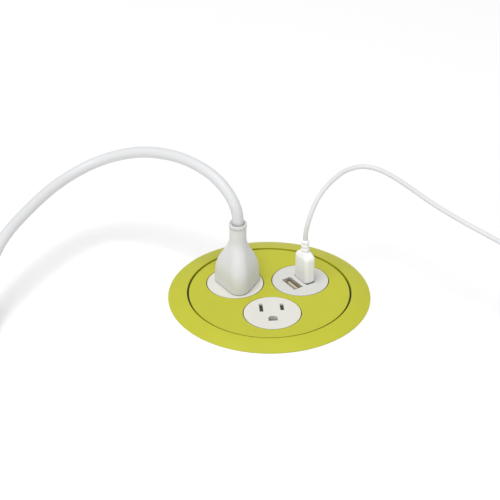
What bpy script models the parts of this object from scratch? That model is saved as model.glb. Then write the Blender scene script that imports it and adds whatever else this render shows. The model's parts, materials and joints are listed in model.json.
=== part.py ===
"""Round power unit for a desk hole: bezel ring, insert disc, two outlets and a double
charger, with a power plug and a charging plug in place.

Metres, +Z up.  The origin is the centre of the flange's underside, which is the desk's top
face.  The front outlet points along -Y.
"""
import bpy
import bmesh
from math import atan2, ceil, cos, pi, radians, sin, sqrt, tau
from mathutils import Matrix, Vector

MM = 0.001
GAP = 0.3 * MM                      # clearance between solids that touch

# ---- driving dimensions ---------------------------------------------------------------
FLANGE_RADIUS = 62.2 * MM
FLANGE_EDGE_HEIGHT = 0.6 * MM       # the bezel's thin outer edge
FLANGE_HEIGHT = 3.4 * MM            # the bezel's inner lip
BARREL_RADIUS = 51.6 * MM           # passes a 104 mm desk hole
BARREL_WALL = 3.0 * MM
BARREL_LENGTH = 60.0 * MM
INSERT_RADIUS = 49.4 * MM
INSERT_GAP = 1.2 * MM               # ring gap seen around the insert
INSERT_TOP = 3.0 * MM
INSERT_THICKNESS = 1.6 * MM
SKIRT_DEPTH = 9.4 * MM              # skirt below the insert's plate
SKIRT_WALL = 2.0 * MM

MODULE_RADIUS = 17.4 * MM
MODULE_GAP = 0.5 * MM
MODULE_TOP = 3.1 * MM
MODULE_RIM = 1.8 * MM               # hidden rim that the insert holds down
MODULE_RIM_DEPTH = 1.2 * MM         # how far the rim reaches below the desk's face
MODULE_PITCH_RADIUS = 23.35 * MM
LEFT_ANGLE = radians(150)
FRONT_ANGLE = radians(-90)
CHARGER_ANGLE = radians(30)

RETAINER_THICKNESS = 2.0 * MM
CUP_DEPTH = 46.0 * MM               # underside of the housing cup
CUP_WALL = 2.0 * MM
CUP_FLOOR = 2.5 * MM
BOSS_RADIUS = 3.5 * MM
BOSS_PITCH_RADIUS = 38.0 * MM
SCREW_RADIUS = 1.3 * MM
SCREW_HEAD_RADIUS = 2.8 * MM
SCREW_LENGTH = 12.0 * MM

DESK_THICKNESS = 30.0 * MM          # the clamp is drawn on a desk of this thickness
WASHER_RADIUS = 62.0 * MM
WASHER_THICKNESS = 2.0 * MM
NUT_RADIUS = 58.5 * MM
NUT_HEIGHT = 8.7 * MM
NUT_LUGS = 6

OUTLET_BODY_RADIUS = 16.6 * MM
OUTLET_BODY_DEPTH = 22.0 * MM
BLADE_SPACING = 12.7 * MM
BLADE_THICKNESS = 1.5 * MM
LINE_BLADE_WIDTH = 6.3 * MM
NEUTRAL_BLADE_WIDTH = 7.9 * MM
BLADE_LENGTH = 16.0 * MM
BLADE_LINE_OFFSET = 6.15 * MM       # blade line, inward of the module's centre
GROUND_OFFSET = 5.75 * MM           # ground pin, outward of the module's centre
GROUND_PIN_RADIUS = 2.38 * MM
GROUND_PIN_LENGTH = 19.2 * MM
SLOT_CLEARANCE = 0.7 * MM
FACE_SKIN = 1.5 * MM                # face thickness over the shutter
SHUTTER_TRAVEL = 3.0 * MM

PORT_SPACING = 9.4 * MM
PORT_MIDDLE = 1.3 * MM              # middle of the two ports, inward of the module's centre
PORT_WIDTH = 13.1 * MM
PORT_HEIGHT = 5.7 * MM
PORT_WALL = 0.3 * MM
CHARGE_SHELL_WIDTH = 12.0 * MM
CHARGE_SHELL_HEIGHT = 4.5 * MM
CHARGE_SHELL_WALL = 0.35 * MM
CHARGER_BODY_DEPTH = 30.0 * MM
CHARGER_BODY_WALL = 1.5 * MM
BOARD_TOP = -13.6 * MM
BOARD_THICKNESS = 1.6 * MM

PLUG_HEIGHT = 43.4 * MM             # from the plug's base to the collar's top
PLUG_NECK_RADIUS = 5.2 * MM
PLUG_COLLAR_RADIUS = 5.6 * MM
PLUG_NECK_SHIFT = 2.0 * MM          # the neck stands towards the blades
POWER_CORD_RADIUS = 3.5 * MM
POWER_COIL_CENTRE = (-215.0 * MM, -74.0 * MM)
POWER_COIL_TURN = 36.5 * MM         # middle radius of the coil's turns
POWER_COIL_LEAD = 0.2 * MM          # space between turns
CHARGE_CORD_RADIUS = 1.5 * MM
CHARGE_COIL_CENTRE = (156.0 * MM, -77.0 * MM)
CHARGE_COIL_TURN = 17.1 * MM
CHARGE_COIL_LEAD = 0.1 * MM
COIL_COLUMNS = 3
COIL_LAYERS = 2

WIRE_RADIUS = 0.9 * MM
SPLICE_RADIUS = 3.6 * MM
SPLICE_HEIGHT = 8.2 * MM

# ---- sizes that follow ----------------------------------------------------------------
RING_INNER = INSERT_RADIUS + INSERT_GAP
BARREL_BORE = BARREL_RADIUS - BARREL_WALL
INSERT_UNDER = INSERT_TOP - INSERT_THICKNESS
LEDGE_HEIGHT = INSERT_UNDER - GAP
SKIRT_RADIUS = BARREL_BORE - 0.8 * MM
SKIRT_BORE = SKIRT_RADIUS - SKIRT_WALL
SEAT_RADIUS = MODULE_RADIUS + MODULE_GAP
RIM_RADIUS = MODULE_RADIUS + MODULE_RIM
RIM_TOP = INSERT_UNDER - GAP
RIM_UNDER = -MODULE_RIM_DEPTH
BODY_TOP = RIM_UNDER - GAP
RETAINER_TOP = RIM_UNDER - GAP
RETAINER_UNDER = RETAINER_TOP - RETAINER_THICKNESS
CUP_TOP = RETAINER_UNDER - GAP
CUP_RADIUS = SKIRT_BORE - GAP
CUP_BORE = CUP_RADIUS - CUP_WALL
CUP_INSIDE = CUP_FLOOR - CUP_DEPTH
PLUG_BASE = MODULE_TOP + GAP
SHUTTER_ROOF = MODULE_TOP - FACE_SKIN
NUT_BORE = BARREL_RADIUS + GAP
PORT_OFFSETS = (PORT_MIDDLE - PORT_SPACING / 2, PORT_MIDDLE + PORT_SPACING / 2)
BOSS_ANGLES = [radians(a) for a in (-30, 90, 210)]
MODULE_ANGLES = (LEFT_ANGLE, FRONT_ANGLE, CHARGER_ANGLE)


# ---- scene and collections ------------------------------------------------------------
for old in list(bpy.data.objects):
    bpy.data.objects.remove(old, do_unlink=True)

unit = bpy.data.collections.new("desk_power_unit")
cutters = bpy.data.collections.new("cutters")
bpy.context.scene.collection.children.link(unit)
bpy.context.scene.collection.children.link(cutters)


def colour(r, g, b, roughness, metallic=0.0):
    """A Principled material's settings, from a screen colour of 0 to 255."""
    linear = [((c / 255 + 0.055) / 1.055) ** 2.4 for c in (r, g, b)]
    return (*linear, 1.0), roughness, metallic


FINISHES = {
    "lime_plastic": colour(199, 200, 72, 0.45),
    "white_plastic": colour(228, 224, 216, 0.4),
    "charger_white_plastic": colour(222, 222, 218, 0.4),
    "plug_plastic": colour(221, 222, 216, 0.45),
    "cord_jacket": colour(226, 227, 224, 0.5),
    "black_plastic": colour(38, 38, 40, 0.5),
    "grey_plastic": colour(120, 122, 124, 0.5),
    "shutter_plastic": colour(62, 58, 54, 0.5),
    "nickel": colour(196, 194, 188, 0.25, 1.0),
    "brass": colour(200, 168, 96, 0.3, 1.0),
    "spring_steel": colour(170, 172, 174, 0.3, 1.0),
    "board": colour(34, 84, 56, 0.5),
    "line_wire": colour(40, 40, 42, 0.5),
    "neutral_wire": colour(225, 225, 222, 0.5),
    "ground_wire": colour(60, 130, 72, 0.5),
}


def material(name):
    """The named material, made once."""
    found = bpy.data.materials.get(name)
    if found:
        return found
    base, roughness, metallic = FINISHES[name]
    made = bpy.data.materials.new(name)
    made.use_nodes = True
    shader = made.node_tree.nodes["Principled BSDF"]
    shader.inputs["Base Color"].default_value = base
    shader.inputs["Roughness"].default_value = roughness
    shader.inputs["Metallic"].default_value = metallic
    made.diffuse_color = base
    return made


# ---- makers ---------------------------------------------------------------------------
def place(obj, finish, parent=None):
    """Put a sub-part in the unit's collection, with its material and its parent empty."""
    unit.objects.link(obj)
    obj.data.materials.append(material(finish))
    obj.parent = parent
    return obj


def empty(name, location, turn=0.0):
    """An empty that carries a module or a moving piece."""
    made = bpy.data.objects.new(name, None)
    made.location = location
    made.rotation_euler = (0, 0, turn)
    unit.objects.link(made)
    return made


def from_bmesh(name, bm):
    """An object from a finished bmesh, shaded smooth with sharp corners."""
    mesh = bpy.data.meshes.new(name)
    bm.normal_update()
    bm.to_mesh(mesh)
    bm.free()
    mesh.shade_smooth()
    mesh.set_sharp_from_angle(angle=radians(35))
    return bpy.data.objects.new(name, mesh)


def turned(name, profile, steps, loop=False):
    """A turned piece from (radius, height) points that run down its outer side."""
    points = [(r, 0, z) for r, z in profile]
    edges = [(i, i + 1) for i in range(len(points) - 1)]
    if loop:
        edges.append((len(points) - 1, 0))
    mesh = bpy.data.meshes.new(name)
    mesh.from_pydata(points, edges, [])
    made = bpy.data.objects.new(name, mesh)
    screw = made.modifiers.new("Turn", "SCREW")
    screw.axis = "Z"
    screw.angle = tau
    screw.steps = steps
    screw.render_steps = steps
    screw.use_merge_vertices = True
    screw.merge_threshold = 0.01 * MM
    screw.use_smooth_shade = True
    return made


def boxes(name, sizes_and_centres):
    """One object of boxes, each given as (size, centre)."""
    bm = bmesh.new()
    for size, centre in sizes_and_centres:
        made = bmesh.ops.create_cube(bm, size=1.0)
        bmesh.ops.scale(bm, vec=size, verts=made["verts"])
        bmesh.ops.translate(bm, vec=centre, verts=made["verts"])
    return from_bmesh(name, bm)


def cylinders(name, radius, low, high, places, segments):
    """One object of upright cylinders at the (x, y) places."""
    bm = bmesh.new()
    for x, y in places:
        made = bmesh.ops.create_cone(
            bm, cap_ends=True, segments=segments, radius1=radius, radius2=radius,
            depth=high - low)
        bmesh.ops.translate(bm, vec=(x, y, (low + high) / 2), verts=made["verts"])
    return from_bmesh(name, bm)


def prism(name, outline, low, high):
    """A flat outline of (x, y) points, given height."""
    bm = bmesh.new()
    face = bm.faces.new([bm.verts.new((x, y, low)) for x, y in outline])
    raised = bmesh.ops.extrude_face_region(bm, geom=[face])
    moved = [v for v in raised["geom"] if isinstance(v, bmesh.types.BMVert)]
    bmesh.ops.translate(bm, vec=(0, 0, high - low), verts=moved)
    bmesh.ops.recalc_face_normals(bm, faces=bm.faces)
    return from_bmesh(name, bm)


def strip(name, points, width, thickness):
    """A bent strip: (x, z) points along its middle, width along Y."""
    bm = bmesh.new()
    near = [bm.verts.new((x, -width / 2, z)) for x, z in points]
    edges = [bm.edges.new(pair) for pair in zip(near, near[1:])]
    grown = bmesh.ops.extrude_edge_only(bm, edges=edges)
    moved = [v for v in grown["geom"] if isinstance(v, bmesh.types.BMVert)]
    bmesh.ops.translate(bm, vec=(0, width, 0), verts=moved)
    made = from_bmesh(name, bm)
    wall = made.modifiers.new("Wall", "SOLIDIFY")
    wall.thickness = thickness
    wall.offset = 0.0
    wall.use_even_offset = True
    return made


def support(circles, angle):
    """The outline point, facing this angle, of the hull around (x, y, radius) circles."""
    n = Vector((cos(angle), sin(angle)))
    x, y, r = max(circles, key=lambda c: c[0] * n.x + c[1] * n.y + c[2])
    return Vector((x, y)) + r * n


def loft(name, circles, neck, levels, sides):
    """A moulded form that rises from an outline of circles to a round neck.

    Each level is (height, blend to the neck, shrink of the outline, neck radius).
    """
    bm = bmesh.new()
    rings = []
    for height, blend, shrink, radius in levels:
        ring = []
        for k in range(sides):
            angle = tau * (k + 0.5) / sides
            n = Vector((cos(angle), sin(angle)))
            outline = support(circles, angle) - shrink * n
            point = outline.lerp(Vector(neck) + radius * n, blend)
            ring.append(bm.verts.new((point.x, point.y, height)))
        rings.append(ring)
    for low, high in zip(rings, rings[1:]):
        for k in range(sides):
            nxt = (k + 1) % sides
            bm.faces.new((low[k], low[nxt], high[nxt], high[k]))
    bm.faces.new(list(reversed(rings[0])))
    bm.faces.new(rings[-1])
    return from_bmesh(name, bm)


def tube(name, points, radius):
    """A wire or a cord along the points."""
    curve = bpy.data.curves.new(name, "CURVE")
    curve.dimensions = "3D"
    curve.bevel_depth = radius
    curve.bevel_resolution = 2
    curve.use_fill_caps = True
    spline = curve.splines.new("POLY")
    spline.points.add(len(points) - 1)
    for point, place_at in zip(spline.points, points):
        point.co = (*place_at, 1.0)
    return bpy.data.objects.new(name, curve)


def bevel(obj, width, segments=2):
    """Round the sharp edges of a boxy piece."""
    made = obj.modifiers.new("Round", "BEVEL")
    made.width = width
    made.segments = segments
    made.limit_method = "ANGLE"
    made.angle_limit = radians(50)
    return obj


def boolean(obj, other, operation):
    """Cut obj with other, or join other to it; other becomes a hidden cutter."""
    if other.name not in cutters.objects:
        cutters.objects.link(other)
    other.hide_render = True
    other.display_type = "WIRE"
    other.parent = obj.parent
    made = obj.modifiers.new(other.name, "BOOLEAN")
    made.operation = operation
    made.object = other
    made.solver = "EXACT"
    return obj


def cut(obj, other):
    return boolean(obj, other, "DIFFERENCE")


def join(obj, other):
    return boolean(obj, other, "UNION")


def polar(radius, angle):
    return (radius * cos(angle), radius * sin(angle))


def smooth_route(points, spacing):
    """Points at an even spacing on a smooth curve through the route's own points."""
    ends = [2 * points[0] - points[1]] + points + [2 * points[-1] - points[-2]]
    dense = []
    for a, b, c, d in zip(ends, ends[1:], ends[2:], ends[3:]):
        for k in range(12):
            t = k / 12
            dense.append(0.5 * (2 * b + (c - a) * t + (2 * a - 5 * b + 4 * c - d) * t * t
                                + (3 * b - a - 3 * c + d) * t ** 3))
    dense.append(points[-1])
    lengths = [0.0]
    for a, b in zip(dense, dense[1:]):
        lengths.append(lengths[-1] + (b - a).length)
    count = ceil(lengths[-1] / spacing)
    route = []
    k = 0
    for step in range(count + 1):
        target = lengths[-1] * step / count
        while k < len(dense) - 2 and lengths[k + 1] < target:
            k += 1
        share = (target - lengths[k]) / (lengths[k + 1] - lengths[k])
        route.append(dense[k].lerp(dense[k + 1], share))
    return route


def rounded_corners(points, radius, steps=3):
    """A polyline of straight runs with its corners turned into short arcs."""
    route = [points[0]]
    for before, corner, after in zip(points, points[1:], points[2:]):
        back = (before - corner).normalized()
        on = (after - corner).normalized()
        reach = min(radius, (before - corner).length / 2, (after - corner).length / 2)
        start = corner + back * reach
        end = corner + on * reach
        for k in range(steps + 1):
            t = k / steps
            route.append(start * (1 - t) ** 2 + corner * 2 * t * (1 - t) + end * t ** 2)
    route.append(points[-1])
    return route


# ---- ring, insert and housing ---------------------------------------------------------
def make_bezel_ring():
    """Lime flange with a shallow dome, and the barrel that passes the desk."""
    width = FLANGE_RADIUS - RING_INNER
    rise = FLANGE_HEIGHT - FLANGE_EDGE_HEIGHT
    dome = []
    for k in range(5):
        t = k / 4
        dome.append((RING_INNER + 0.4 * MM + (width - 0.4 * MM) * t,
                     FLANGE_HEIGHT - rise * t ** 1.25))
    groove_low = -24.0 * MM
    groove_high = -15.5 * MM
    groove = BARREL_BORE + 0.8 * MM
    profile = dome + [
        (FLANGE_RADIUS, 0.0),
        (BARREL_RADIUS, 0.0),
        (BARREL_RADIUS, -BARREL_LENGTH),
        (BARREL_BORE, -BARREL_LENGTH),
        (BARREL_BORE, groove_low),
        (groove, groove_low),
        (groove, groove_high),
        (BARREL_BORE, groove_high),
        (BARREL_BORE, LEDGE_HEIGHT),
        (RING_INNER, LEDGE_HEIGHT),
        (RING_INNER, FLANGE_HEIGHT - 0.4 * MM),
    ]
    place(turned("bezel_ring", profile, 48, loop=True), "lime_plastic")


def make_insert_disc():
    """Lime plate with three seats, a skirt, and three long screw bosses."""
    profile = [
        (0.0, INSERT_TOP),
        (INSERT_RADIUS - 0.4 * MM, INSERT_TOP),
        (INSERT_RADIUS, INSERT_TOP - 0.4 * MM),
        (INSERT_RADIUS, INSERT_UNDER),
        (SKIRT_RADIUS, INSERT_UNDER),
        (SKIRT_RADIUS, INSERT_UNDER - SKIRT_DEPTH),
        (SKIRT_BORE, INSERT_UNDER - SKIRT_DEPTH),
        (SKIRT_BORE, INSERT_UNDER),
        (0.0, INSERT_UNDER),
    ]
    disc = place(turned("insert_disc", profile, 48), "lime_plastic")
    seats = [polar(MODULE_PITCH_RADIUS, a) for a in MODULE_ANGLES]
    cut(disc, cylinders("seat_cutters", SEAT_RADIUS, INSERT_UNDER - GAP, INSERT_TOP + GAP,
                        seats, 32))
    places = [polar(BOSS_PITCH_RADIUS, a) for a in BOSS_ANGLES]
    join(disc, cylinders("boss_posts", BOSS_RADIUS, CUP_INSIDE + GAP,
                         INSERT_UNDER + INSERT_THICKNESS / 2, places, 16))
    pilot_top = SCREW_LENGTH - CUP_DEPTH + 1.0 * MM
    cut(disc, cylinders("pilot_cutters", SCREW_RADIUS + GAP, CUP_INSIDE - GAP, pilot_top,
                        places, 12))


def make_module_retainer():
    """Plate that holds the three modules up against the insert."""
    plate = place(cylinders("module_retainer", SKIRT_BORE - 0.4 * MM, RETAINER_UNDER,
                            RETAINER_TOP, [(0, 0)], 40), "black_plastic")
    seats = [polar(MODULE_PITCH_RADIUS, a) for a in MODULE_ANGLES]
    cut(plate, cylinders("body_cutters", OUTLET_BODY_RADIUS + GAP, RETAINER_UNDER - GAP,
                         RETAINER_TOP + GAP, seats, 32))
    places = [polar(BOSS_PITCH_RADIUS, a) for a in BOSS_ANGLES]
    cut(plate, cylinders("boss_cutters", BOSS_RADIUS + GAP, RETAINER_UNDER - GAP,
                         RETAINER_TOP + GAP, places, 14))


INLET_PLACE = polar(16.0 * MM, radians(-30))
INLET_BORE = 4.0 * MM
INLET_NECK = 6.0 * MM
INLET_FLANGE = 8.5 * MM
CLIP_ANGLES = (0.0, pi)
CLIP_WIDTH = 8.0 * MM
CLIP_THICKNESS = 0.6 * MM
CLIP_HOOK = -32.0 * MM


def make_housing_cup():
    """Black cup that closes the underside."""
    profile = [
        (0.0, CUP_INSIDE),
        (CUP_BORE, CUP_INSIDE),
        (CUP_BORE, CUP_TOP),
        (CUP_RADIUS, CUP_TOP),
        (CUP_RADIUS, -CUP_DEPTH + 1.0 * MM),
        (CUP_RADIUS - 1.0 * MM, -CUP_DEPTH),
        (0.0, -CUP_DEPTH),
    ]
    cup = place(turned("housing_cup", profile, 40), "black_plastic")
    places = [polar(BOSS_PITCH_RADIUS, a) for a in BOSS_ANGLES]
    cut(cup, cylinders("screw_cutters", SCREW_RADIUS + GAP, -CUP_DEPTH - GAP,
                       CUP_INSIDE + GAP, places, 12))
    cut(cup, cylinders("inlet_cutter", INLET_NECK + GAP, -CUP_DEPTH - GAP,
                       CUP_INSIDE + GAP, [INLET_PLACE], 24))
    middle = (CUP_RADIUS + CUP_BORE) / 2
    slot = (3 * CUP_WALL, CLIP_WIDTH + 2 * GAP, CLIP_THICKNESS + 2 * GAP)
    cut(cup, boxes("clip_slots", [(slot, (middle * cos(a), 0, CLIP_HOOK))
                                  for a in CLIP_ANGLES]))


def make_housing_screws():
    """Pan-head screws through the cup's floor into the insert's bosses."""
    head_top = -CUP_DEPTH - GAP
    profile = [
        (0.0, SCREW_LENGTH - CUP_DEPTH),
        (SCREW_RADIUS, SCREW_LENGTH - CUP_DEPTH - 1.0 * MM),
        (SCREW_RADIUS, head_top),
        (SCREW_HEAD_RADIUS, head_top),
        (SCREW_HEAD_RADIUS, head_top - 1.2 * MM),
        (SCREW_HEAD_RADIUS * 0.6, head_top - 2.0 * MM),
        (0.0, head_top - 2.0 * MM),
    ]
    for number, angle in enumerate(BOSS_ANGLES, 1):
        screw = place(turned(f"housing_screw_{number}", profile, 14), "spring_steel")
        screw.location = (*polar(BOSS_PITCH_RADIUS, angle), 0)


def make_retaining_clips():
    """Leaf springs, hooked into the cup, that snap into the barrel's groove."""
    leg = CUP_RADIUS + GAP + CLIP_THICKNESS / 2
    points = [
        (CUP_BORE - 0.6 * MM, CLIP_HOOK),
        (leg, CLIP_HOOK),
        (leg, -26.0 * MM),
        (BARREL_BORE + 0.15 * MM, -19.6 * MM),
        (BARREL_BORE - 1.2 * MM, -14.0 * MM),
    ]
    for name, angle in zip(("right", "left"), CLIP_ANGLES):
        clip = place(strip(f"retaining_clip_{name}", points, CLIP_WIDTH, CLIP_THICKNESS),
                     "spring_steel")
        clip.rotation_euler = (0, 0, angle)


def make_cord_inlet():
    """Snap-in bushing where the supply cord would enter."""
    flange_top = -CUP_DEPTH - GAP
    collar_under = CUP_INSIDE + GAP
    profile = [
        (INLET_BORE, collar_under + 2.5 * MM),
        (INLET_FLANGE - 1.2 * MM, collar_under + 1.2 * MM),
        (INLET_FLANGE - 1.2 * MM, collar_under),
        (INLET_NECK, collar_under),
        (INLET_NECK, flange_top),
        (INLET_FLANGE, flange_top),
        (INLET_FLANGE, flange_top - 2.0 * MM),
        (INLET_BORE, flange_top - 3.0 * MM),
    ]
    bushing = place(turned("cord_inlet", profile, 24, loop=True), "black_plastic")
    bushing.location = (*INLET_PLACE, 0)


def make_clamp():
    """Washer and ring nut that pull the flange down on the desk."""
    washer_under = -DESK_THICKNESS - WASHER_THICKNESS
    ring = [
        (WASHER_RADIUS, -DESK_THICKNESS),
        (WASHER_RADIUS, washer_under),
        (NUT_BORE + 0.2 * MM, washer_under),
        (NUT_BORE + 0.2 * MM, -DESK_THICKNESS),
    ]
    place(turned("clamp_washer", ring, 40, loop=True), "spring_steel")
    nut_top = washer_under - GAP
    nut_under = nut_top - NUT_HEIGHT
    nut_profile = [
        (NUT_RADIUS, nut_top),
        (NUT_RADIUS, nut_under + 1.0 * MM),
        (NUT_RADIUS - 1.0 * MM, nut_under),
        (NUT_BORE, nut_under),
        (NUT_BORE, nut_top),
    ]
    nut = place(turned("clamp_nut", nut_profile, 40, loop=True), "black_plastic")
    lug_reach = WASHER_RADIUS - NUT_RADIUS
    bm = bmesh.new()
    for k in range(NUT_LUGS):
        lug = bmesh.ops.create_cube(bm, size=1.0)
        bmesh.ops.scale(bm, vec=(2 * lug_reach, 7.0 * MM, NUT_HEIGHT * 0.7),
                        verts=lug["verts"])
        bmesh.ops.translate(bm, vec=(NUT_RADIUS - 0.3 * MM, 0, nut_top - NUT_HEIGHT * 0.45),
                            verts=lug["verts"])
        bmesh.ops.rotate(bm, cent=(0, 0, 0), matrix=Matrix.Rotation(tau * k / NUT_LUGS, 3, "Z"),
                         verts=lug["verts"])
    join(nut, from_bmesh("nut_lugs", bm))


# ---- outlets --------------------------------------------------------------------------
BLADE_X = BLADE_SPACING / 2
SLOT_WIDTH = BLADE_THICKNESS + SLOT_CLEARANCE
LINE_SLOT = LINE_BLADE_WIDTH + 0.9 * MM
NEUTRAL_SLOT = NEUTRAL_BLADE_WIDTH + 0.9 * MM
GROUND_HOLE_RADIUS = GROUND_PIN_RADIUS + 0.4 * MM
SHUTTER_HALF_WIDTH = NEUTRAL_SLOT / 2 + GAP
SHUTTER_LEFT = -BLADE_X - SLOT_WIDTH / 2 - 0.45 * MM
SHUTTER_RIGHT = BLADE_X + SLOT_WIDTH / 2 + 0.85 * MM
WINDOW_HALF = SLOT_WIDTH / 2 + 0.2 * MM
SPRING_RADIUS = 1.0 * MM
SPRING_WIRE = 0.2 * MM
LUG_HALF = 1.0 * MM
LUG_REACH = 3.2 * MM
CHANNEL_END = 8.4 * MM
CONTACT_THICKNESS = 0.7 * MM
CONTACT_TOP = -2.3 * MM
CONTACT_BASE = -18.0 * MM
GROUND_CONTACT_BASE = -19.3 * MM
CONTACT_PLACES = [(BLADE_X, BLADE_LINE_OFFSET), (-BLADE_X, BLADE_LINE_OFFSET),
                  (0.0, -GROUND_OFFSET)]


def module_empty(name, angle):
    """Carries a module; local -Y points outward and the module's centre is its origin."""
    return empty(name, (*polar(MODULE_PITCH_RADIUS, angle), 0), angle + pi / 2)


def face_profile():
    """Profile that the three module faces share: a round face on a hidden rim."""
    return [
        (0.0, MODULE_TOP),
        (MODULE_RADIUS - 0.35 * MM, MODULE_TOP),
        (MODULE_RADIUS, MODULE_TOP - 0.35 * MM),
        (MODULE_RADIUS, RIM_TOP),
        (RIM_RADIUS, RIM_TOP),
        (RIM_RADIUS, RIM_UNDER),
        (0.0, RIM_UNDER),
    ]


def ground_outline(radius, flat):
    """D outline of the ground opening: round towards the blades, flat outward."""
    points = [(radius * cos(pi * k / 8), -GROUND_OFFSET + radius * sin(pi * k / 8))
              for k in range(9)]
    return points + [(-radius, -GROUND_OFFSET - flat), (radius, -GROUND_OFFSET - flat)]


def make_outlet_face(side, parent):
    """Outlet face with two slots, the ground opening and the shutter's space below."""
    face = place(turned(f"{side}_outlet_face", face_profile(), 32), "white_plastic", parent)
    tall = MODULE_TOP - RIM_UNDER + 4 * GAP
    middle = (MODULE_TOP + RIM_UNDER) / 2
    cut(face, boxes(f"{side}_slots", [
        ((SLOT_WIDTH, NEUTRAL_SLOT, tall), (-BLADE_X, BLADE_LINE_OFFSET, middle)),
        ((SLOT_WIDTH, LINE_SLOT, tall), (BLADE_X, BLADE_LINE_OFFSET, middle))]))
    ground = ground_outline(GROUND_HOLE_RADIUS, GROUND_PIN_RADIUS + GAP)
    cut(face, prism(f"{side}_ground_opening", ground, RIM_UNDER - GAP, MODULE_TOP + GAP))
    space_left = SHUTTER_LEFT - GAP
    space_right = SHUTTER_RIGHT + SHUTTER_TRAVEL + GAP
    depth = SHUTTER_ROOF - RIM_UNDER
    half = SHUTTER_HALF_WIDTH + GAP
    channel = LUG_REACH + GAP
    channel_left = -LUG_HALF - GAP
    cut(face, boxes(f"{side}_shutter_space", [
        ((space_right - space_left, 2 * half, 2 * depth),
         ((space_left + space_right) / 2, BLADE_LINE_OFFSET, SHUTTER_ROOF - depth))]))
    cut(face, boxes(f"{side}_spring_channel", [
        ((CHANNEL_END - channel_left, channel + half, 2 * depth),
         ((channel_left + CHANNEL_END) / 2,
          BLADE_LINE_OFFSET - half - channel + (channel + half) / 2,
          SHUTTER_ROOF - depth))]))


def make_outlet_body(side, parent):
    """Round body with a pocket and a wire hole for each contact."""
    body = place(cylinders(f"{side}_outlet_body", OUTLET_BODY_RADIUS, -OUTLET_BODY_DEPTH,
                           BODY_TOP, [(0, 0)], 32), "black_plastic", parent)
    blade_floor = CONTACT_BASE - CONTACT_THICKNESS / 2 - GAP
    ground_floor = GROUND_CONTACT_BASE - CONTACT_THICKNESS / 2 - GAP
    high = BODY_TOP + GAP
    pockets = []
    for x in (-BLADE_X, BLADE_X):
        pockets.append(((5.2 * MM, NEUTRAL_SLOT, high - blade_floor),
                        (x, BLADE_LINE_OFFSET, (high + blade_floor) / 2)))
    pockets.append(((8.4 * MM, 6.4 * MM, high - ground_floor),
                    (0, -GROUND_OFFSET, (high + ground_floor) / 2)))
    cut(body, boxes(f"{side}_contact_pockets", pockets))
    cut(body, cylinders(f"{side}_wire_holes", WIRE_RADIUS + 2 * GAP,
                        -OUTLET_BODY_DEPTH - GAP, CONTACT_BASE + GAP, CONTACT_PLACES, 10))


def make_contacts(side, parent):
    """Folded spring contacts that grip the two blades and the ground pin."""
    for name, (x, y) in zip(("line", "neutral", "ground"), CONTACT_PLACES):
        if name == "ground":
            grip = GROUND_PIN_RADIUS + 0.4 * MM + CONTACT_THICKNESS / 2
            base = GROUND_CONTACT_BASE
        else:
            grip = BLADE_THICKNESS / 2 + 0.35 * MM + CONTACT_THICKNESS / 2
            base = CONTACT_BASE
        flare = grip + 0.35 * MM
        points = [(-flare, CONTACT_TOP), (-grip, CONTACT_TOP - 3.0 * MM), (-grip, base),
                  (grip, base), (grip, CONTACT_TOP - 3.0 * MM), (flare, CONTACT_TOP)]
        clip = place(strip(f"{side}_{name}_contact", points, 5.6 * MM, CONTACT_THICKNESS),
                     "brass", parent)
        clip.location = (x, y, 0)


def make_shutter(side, parent, shift):
    """Sliding shutter with one window; shift is how far open it stands."""
    low = RIM_UNDER
    high = SHUTTER_ROOF - GAP
    carrier = empty(f"{side}_shutter_slide", (shift, BLADE_LINE_OFFSET, 0))
    carrier.parent = parent
    half = SHUTTER_HALF_WIDTH
    outline = [
        (SHUTTER_LEFT, -half),
        (-LUG_HALF, -half),
        (-LUG_HALF, -half - LUG_REACH),
        (LUG_HALF, -half - LUG_REACH),
        (LUG_HALF, -half),
        (SHUTTER_RIGHT, -half),
        (SHUTTER_RIGHT, half),
        (SHUTTER_LEFT, half),
    ]
    shutter = place(prism(f"{side}_shutter", outline, low, high), "shutter_plastic", carrier)
    window = BLADE_X - SHUTTER_TRAVEL
    cut(shutter, boxes(f"{side}_window", [
        ((2 * WINDOW_HALF, NEUTRAL_SLOT, 2 * (high - low)), (window, 0, (low + high) / 2))]))
    start = shift + LUG_HALF + GAP
    end = CHANNEL_END - GAP
    steps = 18
    points = []
    for k in range(steps + 1):
        angle = tau * k / 6
        points.append((start + SPRING_WIRE + (end - start - 2 * SPRING_WIRE) * k / steps,
                       BLADE_LINE_OFFSET - half - LUG_REACH / 2 + SPRING_RADIUS * cos(angle),
                       (low + high) / 2 + SPRING_RADIUS * sin(angle)))
    place(tube(f"{side}_shutter_spring", points, SPRING_WIRE), "spring_steel", parent)


def make_outlets():
    for side, angle, shift in (("left", LEFT_ANGLE, SHUTTER_TRAVEL),
                               ("front", FRONT_ANGLE, 0.0)):
        parent = module_empty(f"{side}_outlet", angle)
        make_outlet_face(side, parent)
        make_outlet_body(side, parent)
        make_contacts(side, parent)
        make_shutter(side, parent, shift)


# ---- charger --------------------------------------------------------------------------
TONGUE_WIDTH = 10.6 * MM
TONGUE_THICKNESS = 1.5 * MM
TONGUE_SIDE = 0.85 * MM             # middle of the tongue, outward of the port's middle
SHELL_FOOT = BOARD_TOP + GAP
BODY_SHELF = BOARD_TOP - BOARD_THICKNESS - GAP
CHARGER_WIRE_PLACES = [(-0.4 * MM, 10.8 * MM), (3.6 * MM, 10.4 * MM)]


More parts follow.
